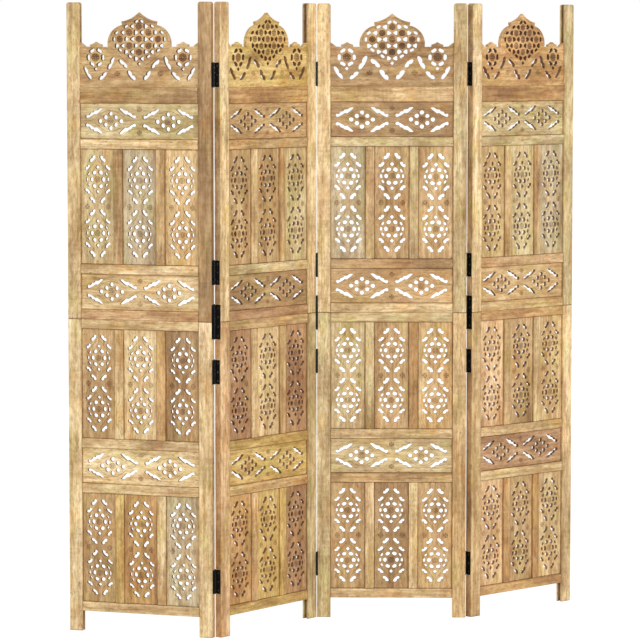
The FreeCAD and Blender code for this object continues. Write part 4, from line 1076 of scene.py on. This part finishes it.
def wood(slot, chatter, streakiness):
    """Hardwood finish on the board's own grain: the two tones drift into each other, the layers tint them,
    and the wear and shade attribute paints dirt and shade into them or rubs them paler, unevenly."""
    f = Finish(bpy.data.materials.new(slot))
    grain, wear, light, deep = (f.node("ShaderNodeAttribute", {"attribute_name": name}, {}, output)
                                for name, output in (("grain", "Vector"), ("wear", "Fac"),
                                                     ("tone_light", "Color"), ("tone_deep", "Color")))
    bend = (f.noise(grain, *BEND_NOISE) - 0.5) * RING_BEND
    push = f.node("ShaderNodeCombineXYZ", {}, {"X": 0.0, "Y": bend, "Z": bend})
    flowing = f.node("ShaderNodeVectorMath", {"operation": "ADD"}, {0: grain, 1: push})
    layers = {name: f.ramp(f.noise(flowing if flows else grain, (along, across, across), *noise), low, high)
              for name, (flows, along, across, *noise, low, high) in GRAIN_LAYERS.items()}
    rings = f.noise(flowing, *RING_NOISE) * RING_WAVES
    layers["figure"] = f.node("ShaderNodeMath", {"operation": "SINE"}, {0: rings}) * 0.5 + 0.5
    layers["saw"] = f.noise(grain, *SAW_NOISE) * layers["planed"] * chatter
    layers["browned"] = layers["streaks"] * streakiness

    cells = f.stretched(grain, KNOT_CELLS)
    place, kind = (f.node("ShaderNodeTexVoronoi", {}, {"Vector": cells, "Scale": 1.0}, output)
                   for output in ("Distance", "Color"))
    chosen = f.ramp(f.node("ShaderNodeSeparateColor", {}, {0: kind}), *KNOT_CHOICE)
    layers["knots"] = (1 - f.ramp(place, *KNOT_REACH)) * chosen
    patchy = f.noise(grain, *PATCHY_NOISE)
    # Dirt and painted shade where the wear and shade attribute is above 0, broken up by a patchy noise.
    layers["grime_and_shade"] = f.ramp(wear * (PATCHY_LEAST + patchy * PATCHY_REACH), 0.0, 1.0)
    layers["rubbed"] = f.ramp(0 - wear, *RUBBED_SPAN)

    base = f.mixed(layers["drift"], light, deep)
    for name, (share, blend, tint) in TINT_SHARES.items():
        base = f.mixed(layers[name] * share, base, tint, blend)
    height, rough = (sum(layers[name] * share for name, share in shares.items())
                     for shares in (HEIGHT_SHARES, ROUGH_SHARES))
    return f.surface(Base_Color=base, Roughness=rough + BARE_ROUGHNESS,
                     Normal=f.relief(height, GRAIN_RELIEF))


MATERIALS = {slot: wood(slot, *shares) for slot, shares in WOOD_SHARES.items()}
for node, piece in PIECES.items():
    piece.data.materials.append(MATERIALS[SLOTS[node]])
print("wood finishes", sorted(MATERIALS))

# %% [markdown]
# ## Hinges, screws and dowels
# The hinges are steel under black lacquer, with a soft shine that breaks up where the lacquer has run and
# been rubbed. These nodes stay as packed and get their finish in their own slots. The dowels sit hidden in
# the seam and get plain turned wood, with the grain along Z.

# %% Lacquer, blackened steel and dowel wood
LACQUER_SHINE, PEEL_RELIEF, FIBRE_RELIEF = 0.22, 0.06 * MM, 0.3 * MM
LACQUERS = {"hinge_lacquer": (0.006, 0.24, 0.35), "hinge_pin_lacquer": (0.010, 0.22, 0.6),
            "screw_black": (0.016, 0.30, 0.8)}
CLOUD_SHARES, CLOUD_ROUGHNESS = np.array((1.9, 1.75, 1.6)), 0.16
CLOUD_NOISE, PEEL_NOISE, BARE_NOISE = ((60, 60, 60), 3), ((900, 900, 900),), ((240, 240, 240), 4, 0.65)
BARE_SPAN, BARE_STEEL, BARE_ROUGHENED, BARE_METAL = (0.66, 0.78), colour(92, 78, 66), 0.2, 0.8
FIBRE_NOISE, FIBRE_SPAN, FIBRE_ROUGHNESS = ((700, 700, 18), 3), (0.35, 0.7), 0.15
DOWEL_TONES, DOWEL_ROUGHNESS = (colour(226, 194, 142), colour(188, 148, 98)), 0.55


def lacquer(slot, shade, gloss, rubbed):
    """Black lacquer: cloudy gloss, fine orange peel, and brown steel where a speckle noise is high."""
    f = Finish(bpy.data.materials.new(slot))
    place = f.node("ShaderNodeTexCoord", {}, {}, "Object")
    cloud, peel = (f.noise(place, *noise) for noise in (CLOUD_NOISE, PEEL_NOISE))
    bare = f.ramp(f.noise(place, *BARE_NOISE), *BARE_SPAN) * rubbed
    base = f.mixed(cloud, (shade, shade, shade, 1), (*(shade * CLOUD_SHARES), 1))
    base = f.mixed(bare, base, BARE_STEEL)
    rough = gloss + cloud * CLOUD_ROUGHNESS + bare * BARE_ROUGHENED
    return f.surface(Base_Color=base, Roughness=rough, Metallic=bare * BARE_METAL,
                     Specular_IOR_Level=LACQUER_SHINE, Normal=f.relief(peel, PEEL_RELIEF))


def dowel_wood(slot):
    """Plain turned wood with its grain along Z."""
    f = Finish(bpy.data.materials.new(slot))
    fibres = f.noise(f.node("ShaderNodeTexCoord", {}, {}, "Object"), *FIBRE_NOISE)
    base = f.mixed(f.ramp(fibres, *FIBRE_SPAN), *DOWEL_TONES)
    return f.surface(Base_Color=base, Roughness=DOWEL_ROUGHNESS + fibres * FIBRE_ROUGHNESS,
                     Normal=f.relief(fibres, FIBRE_RELIEF))


MATERIALS.update({slot: lacquer(slot, *values) for slot, values in LACQUERS.items()})
MATERIALS["dowel_wood"] = dowel_wood("dowel_wood")
packed = [node for node in frame["nodes"] if node not in PIECES]
for node in packed:
    materials = frame["nodes"][node].data.materials
    materials.clear()
    materials.append(MATERIALS[SLOTS[node]])
print("packed nodes with a new finish", len(packed))

# %% [markdown]
# ## Floor, light and camera
# A white floor and a white sky stand for the studio, and the floor still takes the shadow of the feet. Most
# of the light comes from the sky, and two round lamps at the front, a little higher than the posts, give the
# carving its shape. The camera stands far off to the left with a long lens, and looks slightly down.

# %% Floor
FLOOR_REACH, FLOOR_WHITE, FLOOR_ROUGHNESS = 60.0, (0.85, 0.85, 0.85, 1), 0.9
FLOOR_GLOW, FLOOR_GLOW_SHARE = 1.45, 0.6
corners = np.array(((-1, -1, 0), (1, -1, 0), (1, 1, 0), (-1, 1, 0))) * FLOOR_REACH
floor_mesh = bpy.data.meshes.new("floor")
floor_mesh.from_pydata(corners.tolist(), [], [(0, 1, 2, 3)])
floor = placed("floor", floor_mesh)


def floor_paint():
    """White floor: a share of what the camera sees is an even glow, and the rest is lit and shadowed."""
    f = Finish(bpy.data.materials.new("floor_paint"))
    seen = f.node("ShaderNodeLightPath", {}, {}, "Is Camera Ray")
    f.surface(Base_Color=FLOOR_WHITE, Roughness=FLOOR_ROUGHNESS, Specular_IOR_Level=0.0)
    paint = Flow(f, f.shader.outputs[0])
    glow = f.node("ShaderNodeEmission", {}, {"Color": (1, 1, 1, 1), "Strength": FLOOR_GLOW})
    both = f.node("ShaderNodeMixShader", {}, {0: seen * FLOOR_GLOW_SHARE, 1: paint, 2: glow})
    f.feed(f.tree.nodes["Material Output"].inputs["Surface"], both)
    return f.holder


floor_mesh.materials.append(floor_paint())
print("floor", FLOOR_REACH * 2, "metres wide")

# %% Sky and lamps
SKY_LIGHT = 0.72
LAMPS = {"left": ((-3.6, -5.6, 2.0), 1.6, 72.0), "right": ((3.0, -6.0, 2.0), 1.6, 98.0)}


def studio_sky():
    """World that shines softly, and is plain white where it is seen, mirrored or seen through."""
    f = Finish(bpy.data.worlds.new("studio"), "Background")
    seen, mirrored, through = (f.node("ShaderNodeLightPath", {}, {}, f"Is {ray} Ray")
                               for ray in ("Camera", "Glossy", "Transmission"))
    plain = f.ramp(seen + mirrored + through, 0.0, 1.0)
    return f.surface(Color=(1, 1, 1, 1), Strength=SKY_LIGHT + plain * (1.0 - SKY_LIGHT))


bpy.context.scene.world = studio_sky()
aim = np.array((0, 0, PANEL_HEIGHT / 2))
for name, (place, size, power) in LAMPS.items():
    lamp = bpy.data.lights.new(name, "AREA")
    lamp.shape, lamp.size, lamp.energy = "DISK", size, power
    x, y, z = np.array(place) - aim
    placed(name, lamp, place, (np.pi / 2 - np.arctan2(z, np.hypot(x, y)), 0, np.arctan2(x, -y)))
print("lamps", sorted(LAMPS))

# %% Camera
CAMERA_PLACE = (-2.9395, -8.2605, 1.5311)
CAMERA_YAW, CAMERA_PITCH, CAMERA_LENS, CAMERA_SENSOR = 19.226, -4.699, 186.02, 36.0
CAMERA_REACH = 200.0
camera_data = bpy.data.cameras.new("camera")
camera_data.lens, camera_data.sensor_width = CAMERA_LENS, CAMERA_SENSOR
camera_data.clip_end = CAMERA_REACH
camera = placed("camera", camera_data, CAMERA_PLACE, np.radians((90 + CAMERA_PITCH, 0, -CAMERA_YAW)))
bpy.context.scene.camera = camera
bpy.context.scene.view_settings.view_transform = "Standard"
print("camera", np.linalg.norm(camera.location).round(2), "metres off")

# %% [markdown]
# ## Faces of the dressed screen
# The faces of the wooden pieces are counted.

# %% Faces of the wooden pieces
print("faces in the wooden pieces", sum(len(piece.data.polygons) for piece in PIECES.values()))
